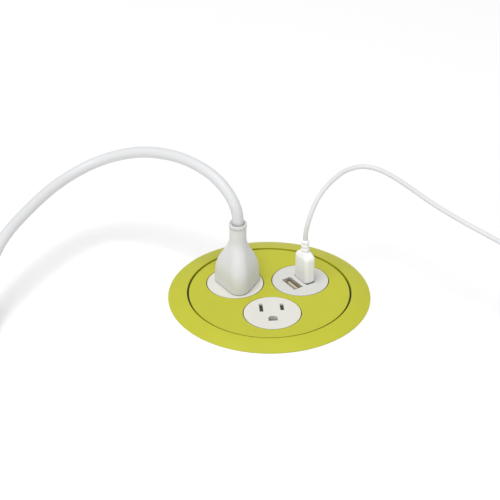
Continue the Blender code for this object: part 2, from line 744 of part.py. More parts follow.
def make_charger_module():
    """Face, ports, board and body of the double charger."""
    parent = module_empty("charger_module", CHARGER_ANGLE)
    face = place(turned("charger_face", face_profile(), 32), "charger_white_plastic", parent)
    tall = MODULE_TOP - RIM_UNDER + 4 * GAP
    middle = (MODULE_TOP + RIM_UNDER) / 2
    cut(face, boxes("port_cutters", [
        ((PORT_WIDTH + 2 * GAP, PORT_HEIGHT + 2 * GAP, tall), (0, y, middle))
        for y in PORT_OFFSETS]))
    shell_top = MODULE_TOP - 0.2 * MM
    shell_height = shell_top - SHELL_FOOT
    shell_middle = (shell_top + SHELL_FOOT) / 2
    block_height = 3.0 * MM
    tongue_height = 14.5 * MM
    for name, y in zip(("outer", "inner"), PORT_OFFSETS):
        shell = place(boxes(f"{name}_port_shell", [
            ((PORT_WIDTH, PORT_HEIGHT, shell_height), (0, y, shell_middle))]),
            "nickel", parent)
        cut(shell, boxes(f"{name}_port_bore", [
            ((PORT_WIDTH - 2 * PORT_WALL, PORT_HEIGHT - 2 * PORT_WALL, 2 * shell_height),
             (0, y, shell_middle))]))
        block = place(boxes(f"{name}_port_tongue", [
            ((PORT_WIDTH - 2 * PORT_WALL - 2 * GAP, PORT_HEIGHT - 2 * PORT_WALL - 2 * GAP,
              block_height), (0, y, SHELL_FOOT + block_height / 2))]),
            "white_plastic", parent)
        join(block, boxes(f"{name}_tongue_blade", [
            ((TONGUE_WIDTH, TONGUE_THICKNESS, tongue_height),
             (0, y - TONGUE_SIDE, SHELL_FOOT + tongue_height / 2))]))
    make_charger_body(parent)
    board_radius = OUTLET_BODY_RADIUS - CHARGER_BODY_WALL - GAP
    place(cylinders("charger_board", board_radius, BOARD_TOP - BOARD_THICKNESS, BOARD_TOP,
                    [(0, 0)], 28), "board", parent)
    under = BODY_SHELF
    place(bevel(boxes("charger_transformer", [
        ((12.0 * MM, 11.0 * MM, 10.0 * MM), (-2.0 * MM, -3.5 * MM, under - 5.0 * MM))]),
        0.6 * MM, 1), "grey_plastic", parent)
    place(cylinders("charger_capacitor", 3.6 * MM, under - 11.0 * MM, under,
                    [(8.6 * MM, -1.5 * MM)], 16), "black_plastic", parent)


def make_charger_body(parent):
    """Round body with a shelf for the board and two wire holes."""
    bore = OUTLET_BODY_RADIUS - CHARGER_BODY_WALL
    shelf_bore = bore - 1.5 * MM
    floor = CHARGER_BODY_WALL - CHARGER_BODY_DEPTH
    profile = [
        (0.0, floor),
        (shelf_bore, floor),
        (shelf_bore, BODY_SHELF),
        (bore, BODY_SHELF),
        (bore, BODY_TOP),
        (OUTLET_BODY_RADIUS, BODY_TOP),
        (OUTLET_BODY_RADIUS, -CHARGER_BODY_DEPTH),
        (0.0, -CHARGER_BODY_DEPTH),
    ]
    body = place(turned("charger_body", profile, 32), "black_plastic", parent)
    cut(body, cylinders("charger_wire_holes", WIRE_RADIUS + GAP, -CHARGER_BODY_DEPTH - GAP,
                        floor + GAP, CHARGER_WIRE_PLACES, 10))


# ---- inner wires ----------------------------------------------------------------------
def in_module(point, angle):
    """Desk-frame (x, y) of a point given in a module's own frame."""
    turn = angle + pi / 2
    cx, cy = polar(MODULE_PITCH_RADIUS, angle)
    x, y = point
    return (cx + x * cos(turn) - y * sin(turn), cy + x * sin(turn) + y * cos(turn))


SPLICES = {
    "ground": ((-26.0 * MM, -9.0 * MM), -24.4 * MM),
    "neutral": ((-4.5 * MM, -2.5 * MM), -26.8 * MM),
    "line": ((-14.5 * MM, -9.5 * MM), -29.2 * MM),
}
CHARGER_WIRE_LEVEL = -32.6 * MM
SPLICE_FOOT = CUP_INSIDE + GAP
SPLICE_MOUTH = SPLICE_FOOT + SPLICE_HEIGHT
WIRE_END = SPLICE_MOUTH - 3.0 * MM


def make_splices():
    """Closed-end connectors that join the wires of one pole."""
    bore = SPLICE_RADIUS - 1.0 * MM
    for name, (centre, _) in SPLICES.items():
        profile = [
            (0.0, SPLICE_MOUTH - 4.5 * MM),
            (bore, SPLICE_MOUTH - 4.0 * MM),
            (bore, SPLICE_MOUTH),
            (SPLICE_RADIUS, SPLICE_MOUTH),
            (SPLICE_RADIUS, SPLICE_FOOT + 2.0 * MM),
            (SPLICE_RADIUS - 1.4 * MM, SPLICE_FOOT),
            (0.0, SPLICE_FOOT),
        ]
        splice = place(turned(f"{name}_splice", profile, 16), "grey_plastic")
        splice.location = (*centre, 0)


def make_wire(name, start, top, level, splice, side, finish, via=()):
    """A wire from under a contact, along its level, and down into its splice."""
    centre, _ = SPLICES[splice]
    end = (centre[0] + 1.35 * MM * cos(side), centre[1] + 1.35 * MM * sin(side))
    points = [Vector((*start, top)), Vector((*start, level))]
    points += [Vector((*p, level)) for p in via]
    points += [Vector((*end, level)), Vector((*end, WIRE_END))]
    place(tube(name, rounded_corners(points, 2.2 * MM), WIRE_RADIUS), finish)


def make_wires():
    """Line, neutral and ground wires of both outlets, and the charger's two wires."""
    blade_top = CONTACT_BASE - CONTACT_THICKNESS / 2 - GAP
    ground_top = GROUND_CONTACT_BASE - CONTACT_THICKNESS / 2 - GAP
    sides = {"left": radians(100), "front": radians(-20)}
    for side, angle in (("left", LEFT_ANGLE), ("front", FRONT_ANGLE)):
        for pole, place_at in zip(("line", "neutral", "ground"), CONTACT_PLACES):
            start = in_module(place_at, angle)
            top = ground_top if pole == "ground" else blade_top
            make_wire(f"{side}_{pole}_wire", start, top, SPLICES[pole][1], pole,
                      sides[side], f"{pole}_wire")
    charger_top = BODY_SHELF - GAP
    make_wire("charger_line_wire", in_module(CHARGER_WIRE_PLACES[0], CHARGER_ANGLE), charger_top,
              CHARGER_WIRE_LEVEL, "line", radians(220), "line_wire",
              via=[(2.0 * MM, -11.0 * MM), (-12.0 * MM, -14.5 * MM)])
    make_wire("charger_neutral_wire", in_module(CHARGER_WIRE_PLACES[1], CHARGER_ANGLE), charger_top,
              CHARGER_WIRE_LEVEL, "neutral", radians(220), "neutral_wire",
              via=[(-1.0 * MM, 4.5 * MM), (-8.8 * MM, 1.6 * MM), (-9.2 * MM, -3.0 * MM)])


# ---- power plug and its cord ----------------------------------------------------------
PLUG_OUTLINE = [(0.0, -7.8 * MM, 5.6 * MM), (-7.2 * MM, 6.1 * MM, 6.3 * MM),
                (7.2 * MM, 6.1 * MM, 6.3 * MM)]
PLUG_TOP = PLUG_BASE + PLUG_HEIGHT
# height as a share of the plug's, blend to the neck, shrink
PLUG_SHAPE = [(0.0, 0.0, 0.35), (0.02, 0.0, 0.0), (0.12, 0.0, 0.0), (0.2, 0.02, 0.0),
              (0.29, 0.09, 0.0), (0.38, 0.24, 0.0), (0.46, 0.42, 0.0), (0.54, 0.63, 0.0),
              (0.62, 0.83, 0.0), (0.7, 0.96, 0.0), (0.76, 1.0, 0.0)]


def make_power_plug():
    """Bottle-shaped plug with a collar, two blades and a ground pin."""
    parent = module_empty("power_plug_pull", LEFT_ANGLE)
    levels = [(PLUG_BASE + share * PLUG_HEIGHT, blend, shrink * MM, PLUG_NECK_RADIUS)
              for share, blend, shrink in PLUG_SHAPE]
    groove = PLUG_TOP - 2.6 * MM
    levels += [
        (groove - 0.4 * MM, 1.0, 0.0, PLUG_NECK_RADIUS),
        (groove, 1.0, 0.0, PLUG_NECK_RADIUS - 0.4 * MM),
        (groove + 0.5 * MM, 1.0, 0.0, PLUG_COLLAR_RADIUS),
        (PLUG_TOP - 0.5 * MM, 1.0, 0.0, PLUG_COLLAR_RADIUS),
        (PLUG_TOP, 1.0, 0.0, PLUG_COLLAR_RADIUS - 0.5 * MM),
    ]
    place(loft("power_plug_body", PLUG_OUTLINE, (0.0, PLUG_NECK_SHIFT), levels, 24),
          "plug_plastic", parent)
    top = PLUG_BASE - GAP
    for name, x, width in (("line", BLADE_X, LINE_BLADE_WIDTH),
                           ("neutral", -BLADE_X, NEUTRAL_BLADE_WIDTH)):
        tip = PLUG_BASE - BLADE_LENGTH
        blade = boxes(f"{name}_blade", [
            ((BLADE_THICKNESS, width, top - tip), (x, BLADE_LINE_OFFSET, (top + tip) / 2))])
        place(bevel(blade, 0.3 * MM, 1), "nickel", parent)
    tip = PLUG_BASE - GROUND_PIN_LENGTH
    pin = place(turned("ground_pin", [
        (0.0, top), (GROUND_PIN_RADIUS, top), (GROUND_PIN_RADIUS, tip + 1.8 * MM),
        (GROUND_PIN_RADIUS * 0.6, tip + 0.4 * MM), (0.0, tip)], 16), "nickel", parent)
    pin.location = (0, -GROUND_OFFSET, 0)


def millimetres(points):
    return [Vector(p) * MM for p in points]


def coil_step(radius, lead):
    """Distance between neighbouring turns."""
    return 2 * radius + lead


def outer_turn_of(turn, radius, lead):
    """Radius of the coil's outermost turn."""
    return turn + coil_step(radius, lead) * (COIL_COLUMNS - 1) / 2


def tangent_reach(outer_turn, radius, end_radius):
    """How far before the outermost turn a straight round end clears the coil's face."""
    return sqrt((outer_turn + radius) ** 2 - (outer_turn - end_radius) ** 2) + GAP


POWER_OUTER_TURN = outer_turn_of(POWER_COIL_TURN, POWER_CORD_RADIUS, POWER_COIL_LEAD)
CHARGE_OUTER_TURN = outer_turn_of(CHARGE_COIL_TURN, CHARGE_CORD_RADIUS, CHARGE_COIL_LEAD)


def make_coil(name, centre, turn, radius, lead, finish):
    """Closed ring with the outer shape of a wound coil lying on the desk."""
    step = coil_step(radius, lead)
    outer = outer_turn_of(turn, radius, lead) + radius
    inner = turn - step * (COIL_COLUMNS - 1) / 2 - radius
    height = 2 * radius + step * (COIL_LAYERS - 1)
    soft = radius * 0.6
    ring = place(turned(name, [
        (inner + soft, height), (outer - soft, height), (outer, height - soft), (outer, soft),
        (outer - soft, 0.0), (inner + soft, 0.0), (inner, soft), (inner, height - soft)],
        28, loop=True), finish)
    ring.location = (*centre, 0)


def cord_route(start, middle, end, radius):
    """Route that leaves its plug straight up and meets its coil flat on the desk."""
    rise = start + Vector((0, 0, 0.6 * radius))
    flat = end + Vector((0, 0.6 * radius, 0))
    return [start] + smooth_route([rise] + middle + [flat], 5 * radius) + [end]


def make_power_cord():
    """Cord from the collar in a high arch, down to the desk and into its coil."""
    plug_axis = in_module((0.0, PLUG_NECK_SHIFT), LEFT_ANGLE)
    entry_x = POWER_COIL_CENTRE[0] + POWER_OUTER_TURN
    entry_y = POWER_COIL_CENTRE[1] + tangent_reach(POWER_OUTER_TURN, POWER_CORD_RADIUS,
                                                   POWER_CORD_RADIUS)
    arch = millimetres([
        (-18.7, 11.0, 52.5), (-20.2, 12.3, 58.4), (-23.5, 16.5, 64.0), (-29.0, 23.4, 68.9),
        (-37.0, 32.2, 72.3), (-47.9, 43.1, 73.5), (-59.9, 53.5, 72.3), (-73.9, 63.1, 69.1),
        (-88.6, 70.0, 63.8), (-103.8, 72.2, 57.8), (-119.1, 66.2, 53.0), (-133.3, 52.9, 49.7),
        (-147.7, 32.6, 46.3), (-158.5, 14.0, 43.2), (-165.2, -0.5, 38.4),
        (-169.2, -12.5, 31.0), (-171.0, -23.5, 21.6), (-171.3, -33.5, 12.2),
        (-171.3, -42.0, 6.0)])
    start = Vector((*plug_axis, PLUG_TOP + GAP))
    end = Vector((entry_x, entry_y, POWER_CORD_RADIUS + 0.1 * MM))
    place(tube("power_cord", cord_route(start, arch, end, POWER_CORD_RADIUS),
               POWER_CORD_RADIUS), "cord_jacket")
    make_coil("power_cord_coil", POWER_COIL_CENTRE, POWER_COIL_TURN, POWER_CORD_RADIUS,
              POWER_COIL_LEAD, "cord_jacket")


CONNECTOR_BODY = 30.0 * MM
CONNECTOR_RELIEF = 24.0 * MM
CONNECTOR_HALF_HEIGHT = 9.2 * MM


def make_appliance_connector():
    """Three-way appliance connector, lying on the desk where the coil ends."""
    axis_height = CONNECTOR_HALF_HEIGHT + 0.1 * MM
    corner = 3.0 * MM
    wide = 12.2 * MM - corner
    low = CONNECTOR_HALF_HEIGHT - corner
    outline = [(x, y, corner) for x in (-wide, wide) for y in (-low, low)]
    face_at = CONNECTOR_RELIEF + CONNECTOR_BODY
    neck = POWER_CORD_RADIUS + 0.6 * MM
    reach = tangent_reach(POWER_OUTER_TURN, POWER_CORD_RADIUS, neck)
    levels = [
        (-face_at, 0.0, 0.0, neck),
        (-face_at + 16.0 * MM, 0.0, 0.0, neck),
        (-face_at + 17.0 * MM, 0.0, 0.9 * MM, neck),
        (-CONNECTOR_RELIEF - 5.0 * MM, 0.0, 1.0 * MM, neck),
        (-CONNECTOR_RELIEF, 0.55, 1.5 * MM, neck + 1.6 * MM),
        (-CONNECTOR_RELIEF + 4.0 * MM, 1.0, 0.0, neck + 1.6 * MM),
        (0.0, 1.0, 0.0, neck),
    ]
    body = place(loft("appliance_connector", outline, (0.0, 0.0), levels, 24),
                 "plug_plastic")
    # The loft's height runs along the connector: turned so that its face looks along +Y.
    body.rotation_euler = (pi / 2, 0, 0)
    body.location = (POWER_COIL_CENTRE[0] - POWER_OUTER_TURN, POWER_COIL_CENTRE[1] + reach,
                     axis_height)
    slot = (1.8 * MM, 5.4 * MM, 12.0 * MM)
    cutter = boxes("connector_slots", [
        (slot, (-6.0 * MM, 1.4 * MM, -face_at)), (slot, (6.0 * MM, 1.4 * MM, -face_at)),
        ((1.8 * MM, 5.4 * MM, 12.0 * MM), (0.0, -2.6 * MM, -face_at))])
    cut(body, cutter)
    cutter.rotation_euler = body.rotation_euler
    cutter.location = body.location


# ---- charging plug and its cord -------------------------------------------------------
CHARGE_PLUG_Y = PORT_OFFSETS[0]
CHARGE_PLUG_TOP = PLUG_BASE + 27.9 * MM
CHARGE_OUTLINE = [(x, y, 2.4 * MM) for x in (-4.2 * MM, 4.2 * MM) for y in (-1.3 * MM, 1.3 * MM)]


def make_charge_plug():
    """Moulded charging plug with a ringed strain relief and its metal shell."""
    parent = empty("charge_plug_pull", (*in_module((0.0, CHARGE_PLUG_Y), CHARGER_ANGLE), 0),
                   CHARGER_ANGLE + pi / 2)
    base = PLUG_BASE
    waist = 2.0 * MM
    levels = [
        (base, 0.0, 0.3 * MM, waist),
        (base + 0.4 * MM, 0.0, 0.0, waist),
        (base + 14.6 * MM, 0.0, 0.0, waist),
        (base + 16.4 * MM, 0.1, 0.2 * MM, 2.7 * MM),
        (base + 18.0 * MM, 0.4, 0.6 * MM, 2.7 * MM),
        (base + 19.4 * MM, 0.85, 0.0, 2.7 * MM),
        (base + 20.0 * MM, 1.0, 0.0, waist),
    ]
    for k in range(3):
        foot = base + (20.6 + 2.5 * k) * MM
        ring = (2.65 - 0.1 * k) * MM
        levels += [(foot, 1.0, 0.0, ring), (foot + 1.3 * MM, 1.0, 0.0, ring),
                   (foot + 1.9 * MM, 1.0, 0.0, waist)]
    levels[-1] = (CHARGE_PLUG_TOP, 1.0, 0.0, waist)
    body = place(loft("charge_plug_body", CHARGE_OUTLINE, (0.0, 0.0), levels, 16),
                 "charger_white_plastic", parent)
    shell_tip = base - 12.0 * MM
    inner_half = CHARGE_SHELL_HEIGHT / 2 - CHARGE_SHELL_WALL
    insert_low = TONGUE_THICKNESS / 2 - TONGUE_SIDE + GAP
    insert_high = inner_half - GAP
    join(body, boxes("charge_plug_insert", [
        ((TONGUE_WIDTH, insert_high - insert_low, 12.0 * MM),
         (0, (insert_low + insert_high) / 2, base + 1.0 * MM - 6.0 * MM))]))
    top = base - GAP
    shell = place(boxes("charge_plug_shell", [
        ((CHARGE_SHELL_WIDTH, CHARGE_SHELL_HEIGHT, top - shell_tip), (0, 0, (top + shell_tip) / 2))]),
        "nickel", parent)
    cut(shell, boxes("charge_plug_bore", [
        ((CHARGE_SHELL_WIDTH - 2 * CHARGE_SHELL_WALL, 2 * inner_half, 2 * (top - shell_tip)),
         (0, 0, (top + shell_tip) / 2))]))


def make_charge_cord():
    """Thin cord in a lower arch to the right, down to the desk and into its coil."""
    axis = in_module((0.0, CHARGE_PLUG_Y), CHARGER_ANGLE)
    entry_x = CHARGE_COIL_CENTRE[0] + CHARGE_OUTER_TURN
    entry_y = CHARGE_COIL_CENTRE[1] + tangent_reach(CHARGE_OUTER_TURN, CHARGE_CORD_RADIUS,
                                                 CHARGE_CORD_RADIUS)
    arch = millimetres([
        (23.4, 13.4, 36.0), (24.2, 13.8, 40.5), (25.6, 15.0, 45.4), (27.6, 17.3, 50.0),
        (30.8, 20.9, 55.0), (35.8, 26.0, 59.6), (42.5, 32.2, 62.9), (50.4, 38.0, 65.1),
        (59.8, 40.5, 66.0), (69.5, 36.9, 65.9), (79.1, 27.0, 65.0), (88.0, 14.4, 63.8),
        (96.4, 1.7, 62.6), (105.2, -8.7, 60.9), (114.0, -18.4, 59.3), (123.1, -26.7, 57.3),
        (133.7, -34.6, 54.2), (143.3, -40.3, 49.4), (152.3, -44.9, 42.6),
        (160.4, -48.6, 33.9), (167.2, -51.4, 24.2), (172.0, -54.2, 14.8),
        (174.8, -57.4, 7.4), (175.9, -61.0, 3.2)])
    start = Vector((*axis, CHARGE_PLUG_TOP + GAP))
    end = Vector((entry_x, entry_y, CHARGE_CORD_RADIUS + 0.1 * MM))
    place(tube("charge_cord", cord_route(start, arch, end, CHARGE_CORD_RADIUS), CHARGE_CORD_RADIUS),
          "cord_jacket")
    make_coil("charge_cord_coil", CHARGE_COIL_CENTRE, CHARGE_COIL_TURN, CHARGE_CORD_RADIUS,
              CHARGE_COIL_LEAD, "cord_jacket")


def make_device_connector():
    """Small connector at the charging cord's far end, with its metal tip."""
    half_height = 3.7 * MM
    corner = 2.0 * MM
    wide = 5.4 * MM - corner
    outline = [(x, y, corner) for x in (-wide, wide)
               for y in (corner - half_height, half_height - corner)]
    relief = 9.0 * MM
    length = 20.0 * MM
    neck = CHARGE_CORD_RADIUS + 0.5 * MM
    reach = tangent_reach(CHARGE_OUTER_TURN, CHARGE_CORD_RADIUS, neck)
    levels = [
        (0.0, 1.0, 0.0, neck),
        (relief - 2.0 * MM, 1.0, 0.0, neck + 0.3 * MM),
        (relief, 0.4, 0.8 * MM, neck + 0.8 * MM),
        (relief + 2.0 * MM, 0.0, 0.0, neck),
        (relief + length - 0.6 * MM, 0.0, 0.0, neck),
        (relief + length, 0.0, 0.5 * MM, neck),
    ]
    carrier = bpy.data.objects.new("device_connector_end", None)
    unit.objects.link(carrier)
    carrier.location = (CHARGE_COIL_CENTRE[0] + CHARGE_OUTER_TURN, CHARGE_COIL_CENTRE[1] - reach,
                        half_height + 0.1 * MM)
    carrier.rotation_euler = (pi / 2, 0, 0)
    place(loft("device_connector", outline, (0.0, 0.0), levels, 20), "charger_white_plastic",
          carrier)
    foot = relief + length + GAP
    place(bevel(boxes("device_connector_tip", [
        ((6.9 * MM, 1.9 * MM, 6.4 * MM), (0, 0, foot + 3.2 * MM))]), 0.4 * MM, 1),
        "nickel", carrier)


make_bezel_ring()
make_insert_disc()
make_module_retainer()
make_housing_cup()
make_housing_screws()
make_retaining_clips()
make_cord_inlet()
make_clamp()
make_outlets()
make_charger_module()
make_splices()
make_wires()
make_power_plug()
make_power_cord()
make_appliance_connector()
make_charge_plug()
make_charge_cord()
make_device_connector()
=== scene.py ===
"""Looks of a round desk power unit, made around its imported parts.

Metres, +Z up.  The desk's top face is z = 0 and the unit's axis is the Z axis.
"""

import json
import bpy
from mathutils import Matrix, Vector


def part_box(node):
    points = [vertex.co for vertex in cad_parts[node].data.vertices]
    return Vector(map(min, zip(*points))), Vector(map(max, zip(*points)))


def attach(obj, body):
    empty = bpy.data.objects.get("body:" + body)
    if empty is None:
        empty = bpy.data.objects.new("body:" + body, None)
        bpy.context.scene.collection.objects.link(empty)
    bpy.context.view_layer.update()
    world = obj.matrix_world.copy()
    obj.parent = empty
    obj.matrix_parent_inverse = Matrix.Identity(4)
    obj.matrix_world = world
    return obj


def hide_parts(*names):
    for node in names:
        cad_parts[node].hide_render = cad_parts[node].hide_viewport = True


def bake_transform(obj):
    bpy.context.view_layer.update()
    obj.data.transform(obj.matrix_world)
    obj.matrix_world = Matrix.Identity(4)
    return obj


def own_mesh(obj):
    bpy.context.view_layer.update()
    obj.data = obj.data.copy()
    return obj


bl_info = {
    "name": "Desk power unit",
    "version": (1, 0, 0),
    "blender": (4, 5, 0),
    "location": "View3D > Sidebar > Power unit",
    "description": "Makes the mouldings, metalwork, leads and stage of a desk power unit",
    "category": "Object",
}

from math import atan2, cos, pi, radians, sin, tan, tau

import bmesh
import bpy
from bpy.props import FloatProperty, FloatVectorProperty, IntProperty, PointerProperty
from mathutils import Matrix, Vector

MM = 0.001
GAP = 0.3 * MM

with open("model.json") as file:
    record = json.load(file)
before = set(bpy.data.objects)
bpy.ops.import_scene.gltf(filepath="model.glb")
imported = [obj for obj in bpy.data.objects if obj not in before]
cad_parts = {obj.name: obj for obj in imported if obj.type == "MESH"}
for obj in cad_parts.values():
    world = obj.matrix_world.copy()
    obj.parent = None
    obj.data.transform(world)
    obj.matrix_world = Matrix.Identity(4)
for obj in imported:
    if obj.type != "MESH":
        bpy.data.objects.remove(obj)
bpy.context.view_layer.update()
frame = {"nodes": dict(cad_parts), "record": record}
NODE_SLOTS = {part["node"]: part["material_slot"] for part in frame["record"]["subparts"]}


# ---- sizes read from the frame ----------------------------------------------------------
def middle(node):
    """Centre of a node's box."""
    low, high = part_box(node)
    return (Vector(low) + Vector(high)) / 2


def half_width(node):
    low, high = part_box(node)
    return (high[0] - low[0]) / 2


def bottom(node):
    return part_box(node)[0][2]


def top(node):
    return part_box(node)[1][2]


def flat(point):
    return (point[0], point[1])


FLANGE_RADIUS = half_width("bezel_ring")
FLANGE_TOP = top("bezel_ring")
BARREL_END = bottom("bezel_ring")
INSERT_RADIUS = half_width("insert_disc")
INSERT_TOP = top("insert_disc")
BOSS_END = bottom("insert_disc")
FACE_TOP = top("front_outlet_face")
FACE_UNDER = bottom("front_outlet_face")
CUP_TOP = top("housing_cup")
CUP_UNDER = bottom("housing_cup")
WASHER_RADIUS = half_width("clamp_washer")
WASHER_TOP = top("clamp_washer")
WASHER_UNDER = bottom("clamp_washer")
NUT_TOP = top("clamp_nut")
NUT_UNDER = bottom("clamp_nut")
PLUG_BASE = bottom("power_plug_body")
PLUG_TOP = top("power_plug_body")
BLADE_TIP = bottom("line_blade")
PIN_TIP = bottom("ground_pin")
CHARGE_PLUG_TOP = top("charge_plug_body")
SHELL_TIP = bottom("charge_plug_shell")
PORT_FOOT = bottom("inner_port_shell")
PORT_TOP = top("inner_port_shell")
TONGUE_TOP = top("inner_port_tongue")
LEFT_CENTRE = flat(middle("left_outlet_face"))
FRONT_CENTRE = flat(middle("front_outlet_face"))
CHARGER_CENTRE = flat(middle("charger_face"))
MODULE_CENTRES = (LEFT_CENTRE, FRONT_CENTRE, CHARGER_CENTRE)
SCREW_PLACES = [flat(middle(f"housing_screw_{n}")) for n in (1, 2, 3)]
INLET_PLACE = flat(middle("cord_inlet"))

# ---- sizes of the mouldings -------------------------------------------------------------
RING_INNER = 50.6 * MM
FLANGE_EDGE = 0.6 * MM              # height of the flange's thin outer edge
LEDGE = 1.1 * MM
BARREL_RADIUS = 51.6 * MM
BARREL_BORE = 48.6 * MM
CLIP_GROOVE = (-24.0 * MM, -15.5 * MM, 49.4 * MM)
INSERT_UNDER = 1.4 * MM
SKIRT_RADIUS = 47.8 * MM
SKIRT_BORE = 45.8 * MM
SKIRT_END = -8.0 * MM
BOSS_RADIUS = 3.5 * MM
FACE_RADIUS = 17.4 * MM
SEAT_RADIUS = 17.9 * MM
RIM_RADIUS = 19.2 * MM
RIM_TOP = 1.1 * MM
FACE_SKIN = 1.5 * MM
BLADE_X = 6.35 * MM
BLADE_LINE = 6.15 * MM              # slots and blades, inward of the module's centre
GROUND_LINE = -5.75 * MM            # ground opening and pin, outward of the centre
SLOT_WIDTH = 2.2 * MM
LINE_SLOT = 7.2 * MM
NEUTRAL_SLOT = 8.8 * MM
GROUND_RADIUS = 2.78 * MM
GROUND_FLAT = 2.68 * MM
SHUTTER_HALF = 4.7 * MM
SHUTTER_ROOM = (0.75 * MM, 4.15 * MM)       # past the two slots, for its slide
SPRING_CHANNEL = (-1.3 * MM, 8.4 * MM, 3.5 * MM)    # from x, to x, and width
BLADE_THICKNESS = 1.5 * MM
LINE_BLADE = 6.3 * MM
NEUTRAL_BLADE = 7.9 * MM
PIN_RADIUS = 2.38 * MM
PORT_LINES = (-3.4 * MM, 6.0 * MM)
PORT_WIDTH = 13.1 * MM
PORT_HEIGHT = 5.7 * MM
PORT_WALL = 0.3 * MM
TONGUE_SHIFT = -0.85 * MM           # from the middle of the port
TONGUE_WIDTH = 10.6 * MM
TONGUE_THICKNESS = 1.5 * MM
CONTACT_PLACES = (-3.5 * MM, -1.0 * MM, 1.0 * MM, 3.5 * MM)
SHELL_WIDTH = 12.0 * MM
SHELL_HEIGHT = 4.5 * MM
SHELL_WALL = 0.35 * MM
CUP_RADIUS = 45.5 * MM
CUP_WALL = 2.0 * MM
CUP_FLOOR = 2.5 * MM
SCREW_CORE = 1.25 * MM
SCREW_HEAD = 2.8 * MM
SCREW_HOLE = 1.6 * MM
BUSHING_BORE = 4.0 * MM
BUSHING_HOLE = 6.3 * MM
NUT_RADIUS = 58.5 * MM
NUT_BORE = 51.9 * MM
NUT_LUGS = 6
PLUG_NECK = 5.2 * MM
NECK_SHIFT = 2.0 * MM               # the neck stands towards the blades
PLUG_OUTLINE = [(0.0, -7.8 * MM, 5.6 * MM), (-7.2 * MM, 6.1 * MM, 6.3 * MM),
                (7.2 * MM, 6.1 * MM, 6.3 * MM)]
CHARGE_OUTLINE = [(x, y, 2.4 * MM) for x in (-4.2 * MM, 4.2 * MM)
                  for y in (-1.3 * MM, 1.3 * MM)]


class MouldingSizes(bpy.types.PropertyGroup):
    """Details of the unit's mouldings."""
    edge: FloatProperty(
        name="Edge radius", description="Radius on the edges of the plates",
        default=0.2 * MM, unit="LENGTH")
    lip: FloatProperty(
        name="Opening lip", description="Radius on the edges of slots and openings",
        default=0.25 * MM, unit="LENGTH")
    thread_pitch: FloatProperty(
        name="Thread pitch", description="Rise of the barrel's thread in one turn",
        default=4.0 * MM, unit="LENGTH")
    thread_depth: FloatProperty(
        name="Thread depth", description="Height of the thread above its root",
        default=0.7 * MM, unit="LENGTH")
    grip_ribs: IntProperty(
        name="Grip ribs", description="Ribs between two lugs of the clamp nut", default=7)


class LeadSizes(bpy.types.PropertyGroup):
    """The two leads and the coils in which their spare length is put away."""
    power_radius: FloatProperty(
        name="Power lead radius", description="Radius of the power lead's jacket",
        default=3.5 * MM, unit="LENGTH")
    power_turns: FloatProperty(
        name="Power coil turns", description="Turns in the power lead's coil", default=5.5)
    charge_radius: FloatProperty(
        name="Charging lead radius", description="Radius of the charging lead's jacket",
        default=1.5 * MM, unit="LENGTH")
    charge_turns: FloatProperty(
        name="Charging coil turns", description="Turns in the charging lead's coil",
        default=6.0)


class UnitColours(bpy.types.PropertyGroup):
    """Colours of the plastics."""
    lime: FloatVectorProperty(
        name="Lime", description="Ring and insert", subtype="COLOR",
        default=(0.47, 0.475, 0.022))
    outlet: FloatVectorProperty(
        name="Outlet white", description="Warm white of the outlet faces", subtype="COLOR",
        default=(0.68, 0.668, 0.615))
    charger: FloatVectorProperty(
        name="Charger white", description="Charger face", subtype="COLOR",
        default=(0.615, 0.612, 0.585))
    # Set lighter than the power plug's white: partly the plug's own white, partly painted
    # light that makes up for the light its sides miss.
    charging_plug: FloatVectorProperty(
        name="Charging plug white", description="Charging plug and its far connector",
        subtype="COLOR", default=(0.88, 0.88, 0.90))
    plug: FloatVectorProperty(
        name="Plug white", description="Power plug and its connector", subtype="COLOR",
        default=(0.66, 0.665, 0.665))
    lead: FloatVectorProperty(
        name="Lead white", description="Jackets of the leads", subtype="COLOR",
        default=(0.66, 0.665, 0.675))


class StageSizes(bpy.types.PropertyGroup):
    """Camera and lights."""
    distance: FloatProperty(
        name="Camera distance", description="From the camera to the plane it looks at",
        default=1.2, unit="LENGTH")
    elevation: FloatProperty(
        name="Camera elevation", description="Height of the view above the desk",
        default=radians(31.95), subtype="ANGLE")
    azimuth: FloatProperty(
        name="Camera azimuth", description="Turn of the view around the unit",
        default=radians(-4.11), subtype="ANGLE")
    aim_right: FloatProperty(
        name="Aim right", description="Aim, to the right of the unit's origin",
        default=-11.83 * MM, unit="LENGTH")
    aim_up: FloatProperty(
        name="Aim up", description="Aim, above the unit's origin in the view",
        default=28.2 * MM, unit="LENGTH")
    lens: FloatProperty(
        name="Lens", description="Focal length in millimetres", default=140.26)
    key: FloatProperty(
        name="Key light", description="Power of the soft light overhead", default=51.0)
    fill: FloatProperty(
        name="Fill light", description="Power of the low light in front", default=20.0)
    sky: FloatProperty(
        name="Sky", description="Strength of the even light all round", default=0.56)


SETTINGS = {
    "moulding_sizes": MouldingSizes,
    "lead_sizes": LeadSizes,
    "unit_colours": UnitColours,
    "stage_sizes": StageSizes,
}


# ---- finishes ---------------------------------------------------------------------------
class Field:
    """A shader socket that can be used in Python expressions."""

    def __init__(self, finish, socket):
        self.finish = finish
        self.socket = socket

    def math(self, operation, *values):
        return self.finish.node("ShaderNodeMath", {"operation": operation},
                                dict(enumerate(values)))

    def __add__(self, other):
        return self.math("ADD", self, other)

    def __sub__(self, other):
        return self.math("SUBTRACT", self, other)

    def __rsub__(self, other):
        return self.math("SUBTRACT", other, self)

    def __mul__(self, other):
        return self.math("MULTIPLY", self, other)

    __radd__ = __add__
    __rmul__ = __mul__

    def between(self, low, high, start=0.0, end=1.0):
        """The value from low to high mapped to start to end, and held beyond them."""
        return self.finish.node("ShaderNodeMapRange", None,
                                {0: self, 1: low, 2: high, 3: start, 4: end})


